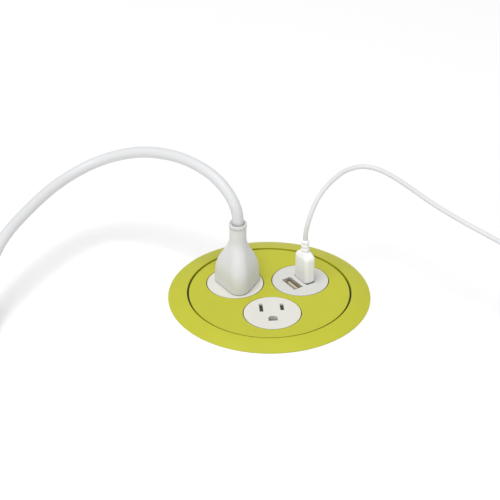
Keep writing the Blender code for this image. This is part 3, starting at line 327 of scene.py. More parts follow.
class Finish:
    """A material whose nodes are made by one method."""

    def __init__(self, name):
        self.material = bpy.data.materials.new(name)
        self.material.use_nodes = True
        self.tree = self.material.node_tree
        self.shader = self.tree.nodes["Principled BSDF"]

    def node(self, kind, settings=None, inputs=None, output=0):
        """A node with its settings and the values or links of its sockets."""
        made = self.tree.nodes.new(kind)
        for name, value in (settings or {}).items():
            setattr(made, name, value)
        for name, value in (inputs or {}).items():
            if isinstance(value, Field):
                self.tree.links.new(value.socket, made.inputs[name])
            else:
                made.inputs[name].default_value = value
        return Field(self, made.outputs[output])

    def place(self, scale=(1.0, 1.0, 1.0), source="Object"):
        """Place on the piece in metres, or on its UV map, scaled on each axis."""
        found = self.node("ShaderNodeTexCoord", output=3 if source == "Object" else 2)
        return self.node("ShaderNodeMapping", None, {"Vector": found, "Scale": scale})

    def noise(self, per_metre, detail=2.0, roughness=0.5, place=None):
        return self.node("ShaderNodeTexNoise", None, {
            "Vector": place or self.place(), "Scale": per_metre, "Detail": detail,
            "Roughness": roughness})

    def mixed(self, factor, dark, light):
        """A colour between two colours or colour sockets."""
        shades = [c if isinstance(c, Field) else (*c, 1.0) for c in (dark, light)]
        return self.node("ShaderNodeMix", {"data_type": "RGBA"},
                         {0: factor, 6: shades[0], 7: shades[1]}, 2)

    def bump(self, height, distance, under=None):
        inputs = {"Height": height, "Distance": distance, "Strength": 1.0}
        if under:
            inputs["Normal"] = under
        return self.node("ShaderNodeBump", None, inputs)

    def finished(self, **values):
        """Set or link the shader's sockets; an underscore stands for a space."""
        for name, value in values.items():
            socket = self.shader.inputs[name.replace("_", " ")]
            if isinstance(value, Field):
                self.tree.links.new(value.socket, socket)
            else:
                socket.default_value = value
        return self.material


def tint(colour, share):
    return tuple(min(1.0, c * share) for c in colour)


def moulded(name, colour, gloss, grain=0.35 * MM, depth=0.006 * MM, drift=0.025,
            specular=0.45):
    """Moulded plastic: fine grain, faint flow marks, rubbed and dusty patches."""
    finish = Finish(name)
    flow = finish.noise(38.0, 3.0, 0.55)
    smudge = finish.noise(260.0, 4.0, 0.62)
    scuffs = finish.noise(900.0, 5.0, 0.7, finish.place((0.25, 1.0, 1.0)))
    fine = finish.noise(1.0 / grain, 2.0, 0.6)
    worn = flow * 0.55 + smudge * 0.3 + scuffs * 0.15
    return finish.finished(
        Base_Color=finish.mixed(worn.between(0.3, 0.7), tint(colour, 1 - drift),
                                tint(colour, 1 + drift)),
        Roughness=worn.between(0.34, 0.66, gloss - 0.06, gloss + 0.07),
        Specular_IOR_Level=specular,
        Normal=finish.bump(fine + scuffs * 0.35, depth))


def jacket(name, colour, length, radius):
    """Cord jacket: drawn lines along the cord, soft smudges and a satin gloss."""
    finish = Finish(name)
    around = tau * radius
    patches = finish.noise(3.0, 3.0, 0.6, finish.place((1.0, length / around, 1.0), "UV"))
    lines = finish.noise(1.0, 3.0, 0.6, finish.place((46.0, length / 0.06, 1.0), "UV"))
    return finish.finished(
        Base_Color=finish.mixed(patches, tint(colour, 0.96), tint(colour, 1.03)),
        Roughness=patches.between(0.3, 0.7, 0.4, 0.52),
        Specular_IOR_Level=0.4,
        Normal=finish.bump(lines, 0.03 * MM))


def metal(name, colour, gloss, drawn=(1.0, 1.0, 1.0)):
    """Metal with drawn lines and dull, handled patches."""
    finish = Finish(name)
    lines = finish.noise(9000.0, 3.0, 0.6, finish.place(drawn))
    dull = finish.noise(480.0, 4.0, 0.65)
    return finish.finished(
        Base_Color=finish.mixed(dull, tint(colour, 0.84), tint(colour, 1.04)),
        Metallic=1.0,
        Roughness=dull * 0.16 + lines * 0.12 + (gloss - 0.12),
        Normal=finish.bump(lines, 0.004 * MM))


def board_finish(name):
    """Green mask over copper tracks, with tinned pads."""
    finish = Finish(name)
    cells = finish.node("ShaderNodeTexVoronoi", {"feature": "DISTANCE_TO_EDGE"},
                        {"Vector": finish.place(), "Scale": 620.0})
    dots = finish.node("ShaderNodeTexVoronoi", {"feature": "F1"},
                       {"Vector": finish.place(), "Scale": 420.0})
    track = 1.0 - cells.between(0.07, 0.11)
    pad = 1.0 - dots.between(0.18, 0.22)
    mask = finish.mixed(track, (0.012, 0.085, 0.035), (0.03, 0.17, 0.07))
    return finish.finished(
        Base_Color=finish.mixed(pad, mask, (0.72, 0.7, 0.66)),
        Roughness=0.34 + pad * 0.1,
        Normal=finish.bump(track * 0.5 + pad, 0.05 * MM))


FINISHES = {}


def make_finishes(colours):
    """Every finish, by the record's slot name; the jackets come with their cords."""
    lime, outlet, charger, charging_plug, plug = (tuple(c) for c in (
        colours.lime, colours.outlet, colours.charger, colours.charging_plug, colours.plug))
    black = (0.017, 0.017, 0.019)
    FINISHES.update({
        "lime_plastic": moulded("lime_plastic", lime, 0.44, 0.3 * MM, 0.006 * MM, 0.03),
        "white_plastic": moulded("white_plastic", outlet, 0.36, 0.3 * MM, 0.003 * MM, 0.02),
        "charger_white_plastic": moulded("charger_white_plastic", charger, 0.4, 0.3 * MM,
                                         0.004 * MM, 0.02),
        # The charging plug's colour carries painted light on its sides, besides its own white.
        "charging_plug_plastic": moulded("charging_plug_plastic", charging_plug, 0.4,
                                         0.3 * MM, 0.004 * MM, 0.02),
        "plug_plastic": moulded("plug_plastic", plug, 0.47, 0.45 * MM, 0.01 * MM, 0.025, 0.4),
        "black_plastic": moulded("black_plastic", black, 0.5, 0.5 * MM, 0.02 * MM, 0.2),
        "grey_plastic": moulded("grey_plastic", (0.19, 0.195, 0.2), 0.5, 0.4 * MM,
                                0.01 * MM, 0.06),
        "shutter_plastic": moulded("shutter_plastic", (0.048, 0.043, 0.036), 0.5, 0.3 * MM,
                                   0.006 * MM, 0.08),
        "tie_strap": moulded("tie_strap", (0.028, 0.028, 0.03), 0.85, 0.22 * MM, 0.15 * MM,
                             0.25, 0.2),
        "tongue_plastic": moulded("tongue_plastic", (0.60, 0.53, 0.42), 0.42, 0.3 * MM,
                                  0.004 * MM, 0.03),
        "line_wire": moulded("line_wire", black, 0.4, drift=0.1),
        "neutral_wire": moulded("neutral_wire", (0.75, 0.75, 0.72), 0.4),
        "ground_wire": moulded("ground_wire", (0.045, 0.22, 0.065), 0.4),
        "nickel": metal("nickel", (0.64, 0.62, 0.58), 0.27, (1.0, 1.0, 0.06)),
        "brass": metal("brass", (0.74, 0.52, 0.2), 0.3, (1.0, 1.0, 0.08)),
        "spring_steel": metal("spring_steel", (0.5, 0.5, 0.5), 0.34, (0.3, 0.3, 1.0)),
        "board": board_finish("board"),
    })


# ---- makers -----------------------------------------------------------------------------
def finished(name, mesh, finish, body="root", stands_for=(), sharp=32.0):
    """The object of a mesh that is in place, with its finish, body and stand-ins."""
    mesh.materials.clear()
    mesh.materials.append(FINISHES[finish])
    mesh.shade_smooth()
    mesh.set_sharp_from_angle(angle=radians(sharp))
    made = bpy.data.objects.new(name, mesh)
    bpy.context.scene.collection.objects.link(made)
    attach(made, body)
    if stands_for:
        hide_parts(*stands_for)
    return made


def even_normals(piece):
    """Keep wide flat faces flat beside their rounded edges."""
    made = piece.modifiers.new("Even normals", "WEIGHTED_NORMAL")
    made.keep_sharp = True
    made.weight = 80
    return piece


def to_mesh(name, bm):
    """A mesh from a bmesh, closed at its seams and with its faces pointing out."""
    bmesh.ops.remove_doubles(bm, verts=bm.verts, dist=0.001 * MM)
    bmesh.ops.recalc_face_normals(bm, faces=bm.faces)
    mesh = bpy.data.meshes.new(name)
    bm.to_mesh(mesh)
    bm.free()
    return mesh


def joined(name, meshes):
    """One mesh from several."""
    bm = bmesh.new()
    for mesh in meshes:
        bm.from_mesh(mesh)
        bpy.data.meshes.remove(mesh)
    made = bpy.data.meshes.new(name)
    bm.to_mesh(made)
    bm.free()
    return made


def arcs(points, radius, closed=True, steps=4):
    """A polyline with each corner turned into an arc, as far as its sides allow."""
    points = [Vector(p) for p in points]
    made = []
    for k, corner in enumerate(points):
        before = points[k - 1]
        after = points[(k + 1) % len(points)]
        if not closed and k in (0, len(points) - 1):
            made.append(corner)
            continue
        back = (before - corner).normalized()
        on = (after - corner).normalized()
        turn = back.angle(on)
        if turn > radians(170):
            made.append(corner)
            continue
        reach = min(radius / tan(turn / 2), (before - corner).length * 0.49,
                    (after - corner).length * 0.49)
        centre = corner + (back + on).normalized() * reach / cos(turn / 2)
        start = corner + back * reach - centre
        end = corner + on * reach - centre
        sweep = start.angle(end)
        for step in range(steps + 1):
            share = step / steps
            made.append(centre + (start * sin((1 - share) * sweep)
                                  + end * sin(share * sweep)) / sin(sweep))
    return made


def turned(name, profile, steps=128, at=(0.0, 0.0), closed=True):
    """Mesh of a turned piece; an open profile starts and ends on the axis."""
    bm = bmesh.new()
    verts = [bm.verts.new((p[0], 0.0, p[1])) for p in profile]
    pairs = list(zip(verts, verts[1:]))
    if closed:
        pairs.append((verts[-1], verts[0]))
    edges = [bm.edges.new(pair) for pair in pairs]
    bmesh.ops.spin(bm, geom=verts + edges, cent=(0, 0, 0), axis=(0, 0, 1), angle=tau,
                   steps=steps, use_merge=True)
    bmesh.ops.translate(bm, vec=(at[0], at[1], 0.0), verts=bm.verts)
    return to_mesh(name, bm)


def loop(bm, points):
    """A closed loop of edges through (x, y, z) points."""
    verts = [bm.verts.new(p) for p in points]
    return [bm.edges.new(pair) for pair in zip(verts, verts[1:] + verts[:1])]


def stacked(name, rings, closed=False):
    """Mesh of a skin over rings of equal counts, capped, or closed on itself.

    The rings are bridged while they stand 1 mm apart, since two that share a plane could
    be bridged the wrong way round, and are then put in place.
    """
    bm = bmesh.new()
    loops = [loop(bm, at_height(ring, k * MM)) for k, ring in enumerate(rings)]
    verts = list(bm.verts)
    pairs = list(zip(loops, loops[1:]))
    if closed:
        pairs.append((loops[-1], loops[0]))
    for low, high in pairs:
        bmesh.ops.bridge_loops(bm, edges=low + high)
    if not closed:
        bmesh.ops.contextual_create(bm, geom=loops[0])
        bmesh.ops.contextual_create(bm, geom=loops[-1])
    for vert, place in zip(verts, [point for ring in rings for point in ring]):
        vert.co = place
    return to_mesh(name, bm)


def at_height(outline, height):
    return [(p[0], p[1], height) for p in outline]


def circle(radius, at=(0.0, 0.0), count=96):
    return [(at[0] + radius * cos(tau * k / count), at[1] + radius * sin(tau * k / count))
            for k in range(count)]


def rectangle(width, height, at=(0.0, 0.0), corner=0.4 * MM, steps=5):
    """Outline of a rectangle with round corners."""
    x, y = width / 2 - corner, height / 2 - corner
    points = []
    for sx, sy, start in ((1, 1, 0.0), (-1, 1, pi / 2), (-1, -1, pi), (1, -1, 3 * pi / 2)):
        for k in range(steps + 1):
            angle = start + pi / 2 * k / steps
            points.append((at[0] + sx * x + corner * cos(angle),
                           at[1] + sy * y + corner * sin(angle)))
    return points


def corners(half_wide, half_high, corner):
    """Circles (x, y, radius) in the four corners of a rectangle."""
    wide, high = half_wide - corner, half_high - corner
    return [(x, y, corner) for x in (-wide, wide) for y in (-high, high)]


def boxed(name, sections, at=(0.0, 0.0), closed=False):
    """Mesh of a skin over rectangles with round corners, each (width, height, corner, z)."""
    return stacked(name, [at_height(rectangle(w, h, at, c), z) for w, h, c, z in sections],
                   closed)


def drill(radius, high, low, at=(0.0, 0.0), steps=32):
    """Round cutter."""
    return turned("drill", [(0.0, high), (radius, high), (radius, low), (0.0, low)], steps,
                  at, False)


def ground_outline(grow=0.0):
    """D outline of the ground opening: round towards the blades, flat outward."""
    radius = GROUND_RADIUS + grow
    outward = GROUND_LINE - GROUND_FLAT - grow
    arc = [(radius * cos(pi * k / 24), GROUND_LINE + radius * sin(pi * k / 24))
           for k in range(25)]
    return arc + [(-radius, outward), (radius, outward)]


def opening(name, outline, low, high, lip):
    """Cutter for an opening, with a round lip at its top; outline(grow) gives its shape."""
    rings = [at_height(outline(0.0), low), at_height(outline(0.0), high - lip)]
    for k in range(1, 5):
        angle = pi / 2 * k / 4
        rings.append(at_height(outline(lip * (1 - cos(angle))),
                               high - lip + lip * sin(angle)))
    rings.append(at_height(outline(lip), high + 1.0 * MM))
    return stacked(name, rings)


def plate(name, outlines, low, high, edge=0.0):
    """Mesh of a flat plate; outlines after the first are holes; edges are rounded."""
    bm = bmesh.new()
    for outline in outlines:
        loop(bm, at_height(outline, low))
    bmesh.ops.triangle_fill(bm, use_beauty=True, use_dissolve=False, edges=bm.edges[:])
    grown = bmesh.ops.extrude_face_region(bm, geom=bm.faces[:])
    raised = [v for v in grown["geom"] if isinstance(v, bmesh.types.BMVert)]
    bmesh.ops.translate(bm, vec=(0, 0, high - low), verts=raised)
    bmesh.ops.recalc_face_normals(bm, faces=bm.faces)
    if edge:
        rims = [e for e in bm.edges if len(e.link_faces) == 2
                and abs(e.verts[0].co.z - e.verts[1].co.z) < 0.01 * MM
                and e.calc_face_angle() > radians(60)]
        bmesh.ops.bevel(bm, geom=rims, offset=edge, affect="EDGES", segments=3, profile=0.5,
                        material=-1)
    return to_mesh(name, bm)


def block(name, size, centre, edge=0.0):
    """Mesh of a box with rounded edges."""
    bm = bmesh.new()
    bmesh.ops.create_cube(bm, size=1.0)
    bmesh.ops.scale(bm, vec=size, verts=bm.verts)
    bmesh.ops.translate(bm, vec=centre, verts=bm.verts)
    if edge:
        bmesh.ops.bevel(bm, geom=bm.edges[:], offset=edge, affect="EDGES", segments=3,
                        profile=0.5, material=-1)
    return to_mesh(name, bm)


def seen_mesh(source):
    """The evaluated mesh of an object or a curve, which is then removed."""
    graph = bpy.context.evaluated_depsgraph_get()
    mesh = bpy.data.meshes.new_from_object(source.evaluated_get(graph))
    bpy.data.objects.remove(source)
    return mesh


def carved(mesh, cutters):
    """The mesh with the cutter meshes taken out of it."""
    piece = bpy.data.objects.new(mesh.name, mesh)
    bpy.context.scene.collection.objects.link(piece)
    tools = []
    for cutter in cutters:
        tool = bpy.data.objects.new("cutter", cutter)
        bpy.context.scene.collection.objects.link(tool)
        change = piece.modifiers.new("Cut", "BOOLEAN")
        change.operation = "DIFFERENCE"
        change.object = tool
        change.solver = "EXACT"
        tools.append(tool)
    made = seen_mesh(piece)
    for tool in tools:
        bpy.data.meshes.remove(tool.data)
    return made


def module_matrix(centre):
    """A module's own frame, whose -Y points outward, in the desk's frame."""
    turn = atan2(centre[1], centre[0]) + pi / 2
    return Matrix.Translation((centre[0], centre[1], 0)) @ Matrix.Rotation(turn, 4, "Z")


def in_module(mesh, centre):
    mesh.transform(module_matrix(centre))
    return mesh


def support(circles, angle):
    """Outline point, facing this angle, of the hull around (x, y, radius) circles."""
    n = Vector((cos(angle), sin(angle)))
    x, y, r = max(circles, key=lambda c: c[0] * n.x + c[1] * n.y + c[2])
    return Vector((x, y)) + r * n


def even_outline(circles, sides):
    """Evenly spaced points, with their outward directions, around the hull of circles."""
    count = 720
    dense = []
    for k in range(count + 1):
        angle = tau * k / count - pi / 2
        dense.append((support(circles, angle), Vector((cos(angle), sin(angle)))))
    lengths = [0.0]
    for (a, _), (b, _) in zip(dense, dense[1:]):
        lengths.append(lengths[-1] + (b - a).length)
    points = []
    k = 0
    for side in range(sides):
        target = lengths[-1] * side / sides
        while lengths[k + 1] < target:
            k += 1
        share = (target - lengths[k]) / max(lengths[k + 1] - lengths[k], 1e-9)
        (a, facing_a), (b, facing_b) = dense[k], dense[k + 1]
        points.append((a.lerp(b, share), facing_a.lerp(facing_b, share).normalized()))
    return points


def lofted(name, circles, neck, levels, sides=96):
    """Mesh of a form that rises from an outline of circles to a round neck.

    Each level is (height, blend to the neck, shrink of the outline, neck radius).
    """
    outline = even_outline(circles, sides)
    rings = []
    for height, blend, shrink, radius in levels:
        ring = []
        for k, (point, facing) in enumerate(outline):
            angle = tau * k / sides - pi / 2
            even = Vector((cos(angle), sin(angle)))
            out = facing.lerp(even, blend).normalized()
            place = (point - shrink * facing).lerp(Vector(neck) + radius * out, blend)
            ring.append((place.x, place.y, height))
        rings.append(ring)
    return stacked(name, rings)


def eased(stations, steps):
    """Stations joined by smooth curves, with this many steps from one to the next."""
    ends = [stations[0]] + list(stations) + [stations[-1]]
    levels = []
    for a, b, c, d in zip(ends, ends[1:], ends[2:], ends[3:]):
        for k in range(steps):
            t = k / steps
            levels.append(tuple(
                0.5 * (2 * q + (r - p) * t + (2 * p - 5 * q + 4 * r - s) * t * t
                       + (3 * q - p - 3 * r + s) * t ** 3)
                for p, q, r, s in zip(a, b, c, d)))
    levels.append(tuple(stations[-1]))
    return levels


# ---- leads ------------------------------------------------------------------------------
POWER_ARCH = [
    (-18.7, 11.0, 52.5), (-20.2, 12.3, 58.4), (-23.5, 16.5, 64.0), (-29.0, 23.4, 68.9),
    (-37.0, 32.2, 72.3), (-47.9, 43.1, 73.5), (-59.9, 53.5, 72.3), (-73.9, 63.1, 69.1),
    (-88.6, 70.0, 63.8), (-103.8, 72.2, 57.8), (-119.1, 66.2, 53.0), (-133.3, 52.9, 49.7),
    (-147.7, 32.6, 46.3), (-158.5, 14.0, 43.2), (-165.2, -0.5, 38.4),
    (-169.2, -12.5, 31.0), (-171.0, -23.5, 21.6), (-171.3, -33.5, 12.2),
    (-171.3, -42.0, 6.0)]
CHARGE_ARCH = [
    (23.4, 13.4, 36.0), (24.2, 13.8, 40.5), (25.6, 15.0, 45.4), (27.6, 17.3, 50.0),
    (30.8, 20.9, 55.0), (35.8, 26.0, 59.6), (42.5, 32.2, 62.9), (50.4, 38.0, 65.1),
    (59.8, 40.5, 66.0), (69.5, 36.9, 65.9), (79.1, 27.0, 65.0), (88.0, 14.4, 63.8),
    (96.4, 1.7, 62.6), (105.2, -8.7, 60.9), (114.0, -18.4, 59.3), (123.1, -26.7, 57.3),
    (133.7, -34.6, 54.2), (143.3, -40.3, 49.4), (152.3, -44.9, 42.6), (160.4, -48.6, 33.9),
    (167.2, -51.4, 24.2), (172.0, -54.2, 14.8), (174.8, -57.4, 7.4), (175.9, -61.0, 3.2)]
COLUMNS = 3
STEP_PART = 0.12                    # share of a turn in which it moves to its next place


def smooth(points, spacing):
    """Evenly spaced points on a smooth curve through the given points."""
    ends = [2 * points[0] - points[1]] + points + [2 * points[-1] - points[-2]]
    dense = []
    for a, b, c, d in zip(ends, ends[1:], ends[2:], ends[3:]):
        for k in range(16):
            t = k / 16
            dense.append(0.5 * (2 * b + (c - a) * t + (2 * a - 5 * b + 4 * c - d) * t * t
                                + (3 * b - a - 3 * c + d) * t ** 3))
    dense.append(points[-1])
    lengths = [0.0]
    for a, b in zip(dense, dense[1:]):
        lengths.append(lengths[-1] + (b - a).length)
    count = max(2, round(lengths[-1] / spacing))
    route = []
    k = 0
    for step in range(count + 1):
        target = lengths[-1] * step / count
        while k < len(dense) - 2 and lengths[k + 1] < target:
            k += 1
        share = (target - lengths[k]) / (lengths[k + 1] - lengths[k])
        route.append(dense[k].lerp(dense[k + 1], share))
    return route


def wound(centre, outer, step, foot, turns):
    """Clockwise turns that start at +X: inward on the desk, then outward on top.

    A turn keeps its column until its last part, where it moves to the next one; the turn
    that climbs does so just before its neighbour moves into its place.
    """
    per_turn = 60
    places = [(c, 0) for c in range(COLUMNS)] + [(c, 1) for c in reversed(range(COLUMNS))]
    points = []
    for k in range(1, round(turns * per_turn) + 1):
        turn, part = divmod(k / per_turn, 1.0)
        here = places[min(int(turn), len(places) - 1)]
        after = places[min(int(turn) + 1, len(places) - 1)]
        climbs = after[1] != here[1]
        begin = 1.0 - STEP_PART * (2 if climbs else 1)
        share = min(1.0, max(0.0, (part - begin) / STEP_PART))
        share = share * share * (3 - 2 * share)
        column = here[0] + (after[0] - here[0]) * share
        layer = here[1] + (after[1] - here[1]) * share
        angle = -tau * k / per_turn
        radius = outer - step * column
        points.append(Vector((centre.x + radius * cos(angle), centre.y + radius * sin(angle),
                              foot + step * layer)))
    return points


def length_of(points):
    return sum((b - a).length for a, b in zip(points, points[1:]))


def tube_mesh(name, points, radius):
    """Mesh tube along the points, whose UV map runs along it."""
    curve = bpy.data.curves.new(name, "CURVE")
    curve.dimensions = "3D"
    curve.bevel_depth = radius
    curve.bevel_resolution = 6
    curve.use_fill_caps = True
    spline = curve.splines.new("POLY")
    spline.points.add(len(points) - 1)
    for point, place in zip(spline.points, points):
        point.co = (*place, 1.0)
    holder = bpy.data.objects.new(name, curve)
    bpy.context.scene.collection.objects.link(holder)
    mesh = seen_mesh(holder)
    bm = bmesh.new()
    bm.from_mesh(mesh)
    bmesh.ops.remove_doubles(bm, verts=bm.verts, dist=0.001 * MM)
    bm.to_mesh(mesh)
    bm.free()
    return mesh


def make_tie(name, centre, angle, turn, half_across, height):
    """A soft strap around the coil's turns, with its end lapped over on top."""
    wall = 0.6 * MM
    clear = 0.15 * MM
    bundle = rectangle(2 * half_across + 2 * clear, height + 2 * clear, corner=height * 0.3)
    around = rectangle(2 * (half_across + clear + wall), height + 2 * (clear + wall),
                       corner=height * 0.3 + wall)
    strap = plate(name, [around, bundle], -4.0 * MM, 4.0 * MM, 0.15 * MM)
    lap = block("lap", (half_across * 1.1, wall, 7.0 * MM),
                (half_across * 0.1, height / 2 + clear + 1.45 * wall, 0), 0.2 * MM)
    mesh = joined(name, [strap, lap])
    mesh.transform(Matrix.Translation((centre.x, centre.y, height / 2 + 0.4 * MM))
                   @ Matrix.Rotation(angle, 4, "Z") @ Matrix.Translation((turn, 0, 0))
                   @ Matrix.Rotation(pi / 2, 4, "X"))
    return finished(name, mesh, "tie_strap", sharp=50.0)


class Lead:
    """Route of a lead: inside its plug, up and over, into its coil, to its connector."""

    def __init__(self, coil, radius, turns, start, arch, connector, gap):
        low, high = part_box(coil)
        self.radius = radius
        self.centre = (Vector(low) + Vector(high)) / 2
        self.step = 2 * radius + gap
        self.outer = (high[0] - low[0]) / 2 - radius
        self.height = high[2]
        self.exit = start
        foot = radius + 0.1 * MM
        entry = Vector((self.centre.x + self.outer, self.centre.y, foot))
        into = entry + Vector((0, 0.6 * self.outer, 0))
        rise = start + Vector((0, 0, 0.9 * radius))
        path = [start] + smooth([rise] + [Vector(p) * MM for p in arch] + [into], radius)
        path += smooth([into, entry], 1.5 * radius)[1:]
        path += wound(self.centre, self.outer, self.step, foot, turns)
        path += smooth([path[-1], connector], 1.5 * radius)[1:]
        self.path = path
        self.length = length_of(path)

    def make(self, name, colour, nodes, ties):
        """The lead's tube, blended from its plug to the desk, and its coil's ties."""
        FINISHES[name] = jacket(name, colour, self.length, self.radius)
        mesh = tube_mesh(name, self.path, self.radius)
        mesh.materials.append(FINISHES[name])
        mesh.shade_smooth()
        lead = bpy.data.objects.new(name, mesh)
        bpy.context.scene.collection.objects.link(lead)
        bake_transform(lead)
        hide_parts(*nodes)
        straps = [make_tie(f"{name}_tie_{n}", self.centre, radians(angle),
                           self.outer - self.step, 1.5 * self.step, self.height)
                  for n, angle in enumerate(ties, 1)]
        return lead, straps


class UNIT_OT_finishes(bpy.types.Operator):
    """Plastics, metals and the board's finish, and the carried-over parts that take them"""
    bl_idname = "unit.finishes"
    bl_label = "Finishes"

    def execute(self, context):
        make_finishes(context.scene.unit_colours)
        FINISHES["cord_jacket"] = FINISHES["plug_plastic"]
        for node, piece in frame["nodes"].items():
            finish = FINISHES[NODE_SLOTS[node]]
            if piece.material_slots:
                piece.material_slots[0].material = finish
            else:
                piece.data.materials.append(finish)
        return {"FINISHED"}


class UNIT_OT_power_lead(bpy.types.Operator):
    """Power lead: up out of the plug in a high arch, down to the desk and into its coil"""
    bl_idname = "unit.power_lead"
    bl_label = "Power lead"

    def execute(self, context):
        sizes = context.scene.lead_sizes
        axis = module_matrix(LEFT_CENTRE) @ Vector((0, NECK_SHIFT, 0))
        relief = middle("appliance_connector")
        relief.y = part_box("appliance_connector")[0][1] + 2 * MM
        lead = Lead("power_cord_coil", sizes.power_radius, sizes.power_turns,
                    Vector((axis.x, axis.y, PLUG_TOP - 1.2 * MM)), POWER_ARCH, relief,
                    0.2 * MM)
        piece, straps = lead.make("power_lead", tuple(context.scene.unit_colours.lead),
                                  ("power_cord", "power_cord_coil"),
                                  (130, -50))
        plug = make_power_plug()
        connector = make_appliance_connector()
        straps + plug + [connector]
        return {"FINISHED"}


class UNIT_OT_charging_lead(bpy.types.Operator):
    """Charging lead: a thin arch to the right, down to the desk and into its coil"""
    bl_idname = "unit.charging_lead"
    bl_label = "Charging lead"

    def execute(self, context):
        sizes = context.scene.lead_sizes
        axis = module_matrix(CHARGER_CENTRE) @ Vector((0, PORT_LINES[0], 0))
        relief = middle("device_connector")
        relief.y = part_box("device_connector")[1][1] - 2 * MM
        lead = Lead("charge_cord_coil", sizes.charge_radius, sizes.charge_turns,
                    Vector((axis.x, axis.y, CHARGE_PLUG_TOP - 0.8 * MM)), CHARGE_ARCH,
                    relief, 0.1 * MM)
        piece, straps = lead.make("charging_lead", tuple(context.scene.unit_colours.lead),
                                  ("charge_cord", "charge_cord_coil"),
                                  (100, 230))
        plug = make_charging_plug()
        connector = make_device_connector()
        straps + plug + connector
        return {"FINISHED"}


# ---- power plug -------------------------------------------------------------------------
# height as a share of the plug's, blend to the neck, shrink in millimetres
PLUG_SHAPE = [(0.0, 0.0, 0.55), (0.008, 0.0, 0.2), (0.02, 0.0, 0.0), (0.12, 0.0, 0.0),
              (0.2, 0.02, 0.0), (0.29, 0.09, 0.0), (0.38, 0.24, 0.0), (0.46, 0.42, 0.0),
              (0.54, 0.63, 0.0), (0.62, 0.83, 0.0), (0.7, 0.96, 0.0), (0.77, 1.0, 0.0)]
# depth below the collar's top and radius, in millimetres: groove, collar, lip and dish
COLLAR_SHAPE = [(3.1, 5.2), (2.75, 5.15), (2.6, 4.7), (2.35, 4.7), (2.2, 5.4), (1.9, 5.6),
                (0.5, 5.6), (0.15, 5.5), (0.0, 5.25), (0.0, 4.95), (0.12, 4.7), (0.8, 4.3),
                (1.1, 4.0), (1.25, 3.4)]


def make_power_plug():
    """Bottle-shaped plug with a dished collar, two blades and a ground pin."""
    rise = PLUG_TOP - PLUG_BASE
    levels = eased([(PLUG_BASE + share * rise, blend, shrink * MM, PLUG_NECK)
                    for share, blend, shrink in PLUG_SHAPE], 4)
    levels += [(PLUG_TOP - depth * MM, 1.0, 0.0, radius * MM)
               for depth, radius in COLLAR_SHAPE]
    body = lofted("power_plug", PLUG_OUTLINE, (0.0, NECK_SHIFT), levels)
    pieces = [finished("power_plug", in_module(body, LEFT_CENTRE), "plug_plastic",
                       "power_plug", ("power_plug_body",), 40.0)]
    blade_top = top("line_blade")
    for name, x, width in (("line", BLADE_X, LINE_BLADE),
                           ("neutral", -BLADE_X, NEUTRAL_BLADE)):
        pieces.append(make_blade(name, x, width, blade_top))
    pin = turned("ground_pin_round", arcs(
        [(0.0, blade_top), (PIN_RADIUS, blade_top), (PIN_RADIUS, PIN_TIP + 1.6 * MM),
         (PIN_RADIUS * 0.6, PIN_TIP), (0.0, PIN_TIP)], 0.9 * MM, False), 48,
        (0.0, GROUND_LINE), False)
    pieces.append(finished("ground_pin_round", in_module(pin, LEFT_CENTRE), "nickel",
                           "power_plug", ("ground_pin",)))
    return pieces


def make_blade(name, x, width, blade_top):
    """Flat blade with a chamfered tip and the hole near it."""
    thick = BLADE_THICKNESS
    blade = boxed(f"{name}_blade_flat", (
        (thick, width, 0.25 * MM, blade_top), (thick, width, 0.25 * MM, BLADE_TIP + 1.3 * MM),
        (thick * 0.55, width - 1.8 * MM, 0.2 * MM, BLADE_TIP)), (x, BLADE_LINE))
    hole = drill(1.55 * MM, 2 * MM, -2 * MM)
    hole.transform(Matrix.Translation((x, BLADE_LINE, BLADE_TIP + 4.6 * MM))
                   @ Matrix.Rotation(pi / 2, 4, "Y"))
    blade = carved(blade, [hole])
    return finished(f"{name}_blade_flat", in_module(blade, LEFT_CENTRE), "nickel",
                    "power_plug", (f"{name}_blade",))


def make_appliance_connector():
    """Three-way appliance connector with a ribbed relief, lying where the coil ends."""
    low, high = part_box("appliance_connector")
    length = high[1] - low[1]
    body_length = 30.0 * MM
    relief = length - body_length
    half_high = (high[2] - low[2]) / 2
    outline = corners((high[0] - low[0]) / 2, half_high, 3.0 * MM)
    neck = 4.1 * MM
    levels = [(0.0, 1.0, 0.0, neck - 0.5 * MM), (0.3 * MM, 1.0, 0.0, neck)]
    ribs = 6
    for k in range(ribs):
        foot = 0.3 * MM + (relief - 5.0 * MM) * k / ribs
        grow = 0.22 * MM * k
        levels += [(foot + 1.9 * MM, 1.0, 0.0, neck + grow), (foot + 2.1 * MM, 1.0, 0.0,
                   neck + grow - 0.7 * MM), (foot + 2.8 * MM, 1.0, 0.0,
                   neck + grow - 0.6 * MM), (foot + 3.0 * MM, 1.0, 0.0, neck + grow)]
    levels += eased([
        (relief - 3.0 * MM, 1.0, 0.0, neck + 1.6 * MM),
        (relief, 0.55, 1.5 * MM, neck + 1.6 * MM), (relief + 5.0 * MM, 0.0, 1.0 * MM, neck),
        (relief + 13.0 * MM, 0.0, 0.9 * MM, neck)], 4)
    levels += [(relief + 13.6 * MM, 0.0, 0.0, neck), (length - 0.6 * MM, 0.0, 0.0, neck),
               (length, 0.0, 0.6 * MM, neck)]
    mesh = lofted("power_connector", outline, (0.0, 0.0), levels)
    slots = [block("slot", (1.8 * MM, 5.4 * MM, 12.0 * MM), (x, y, length))
             for x, y in ((-6.0 * MM, -1.4 * MM), (6.0 * MM, -1.4 * MM), (0.0, 2.6 * MM))]
    mesh = carved(mesh, slots)
    # The loft's height becomes the desk's +Y.
    mesh.transform(Matrix.Translation(((low[0] + high[0]) / 2, low[1],
                                       (low[2] + high[2]) / 2))
                   @ Matrix.Rotation(-pi / 2, 4, "X"))
    return finished("power_connector", mesh, "plug_plastic", "root",
                    ("appliance_connector",), 40.0)


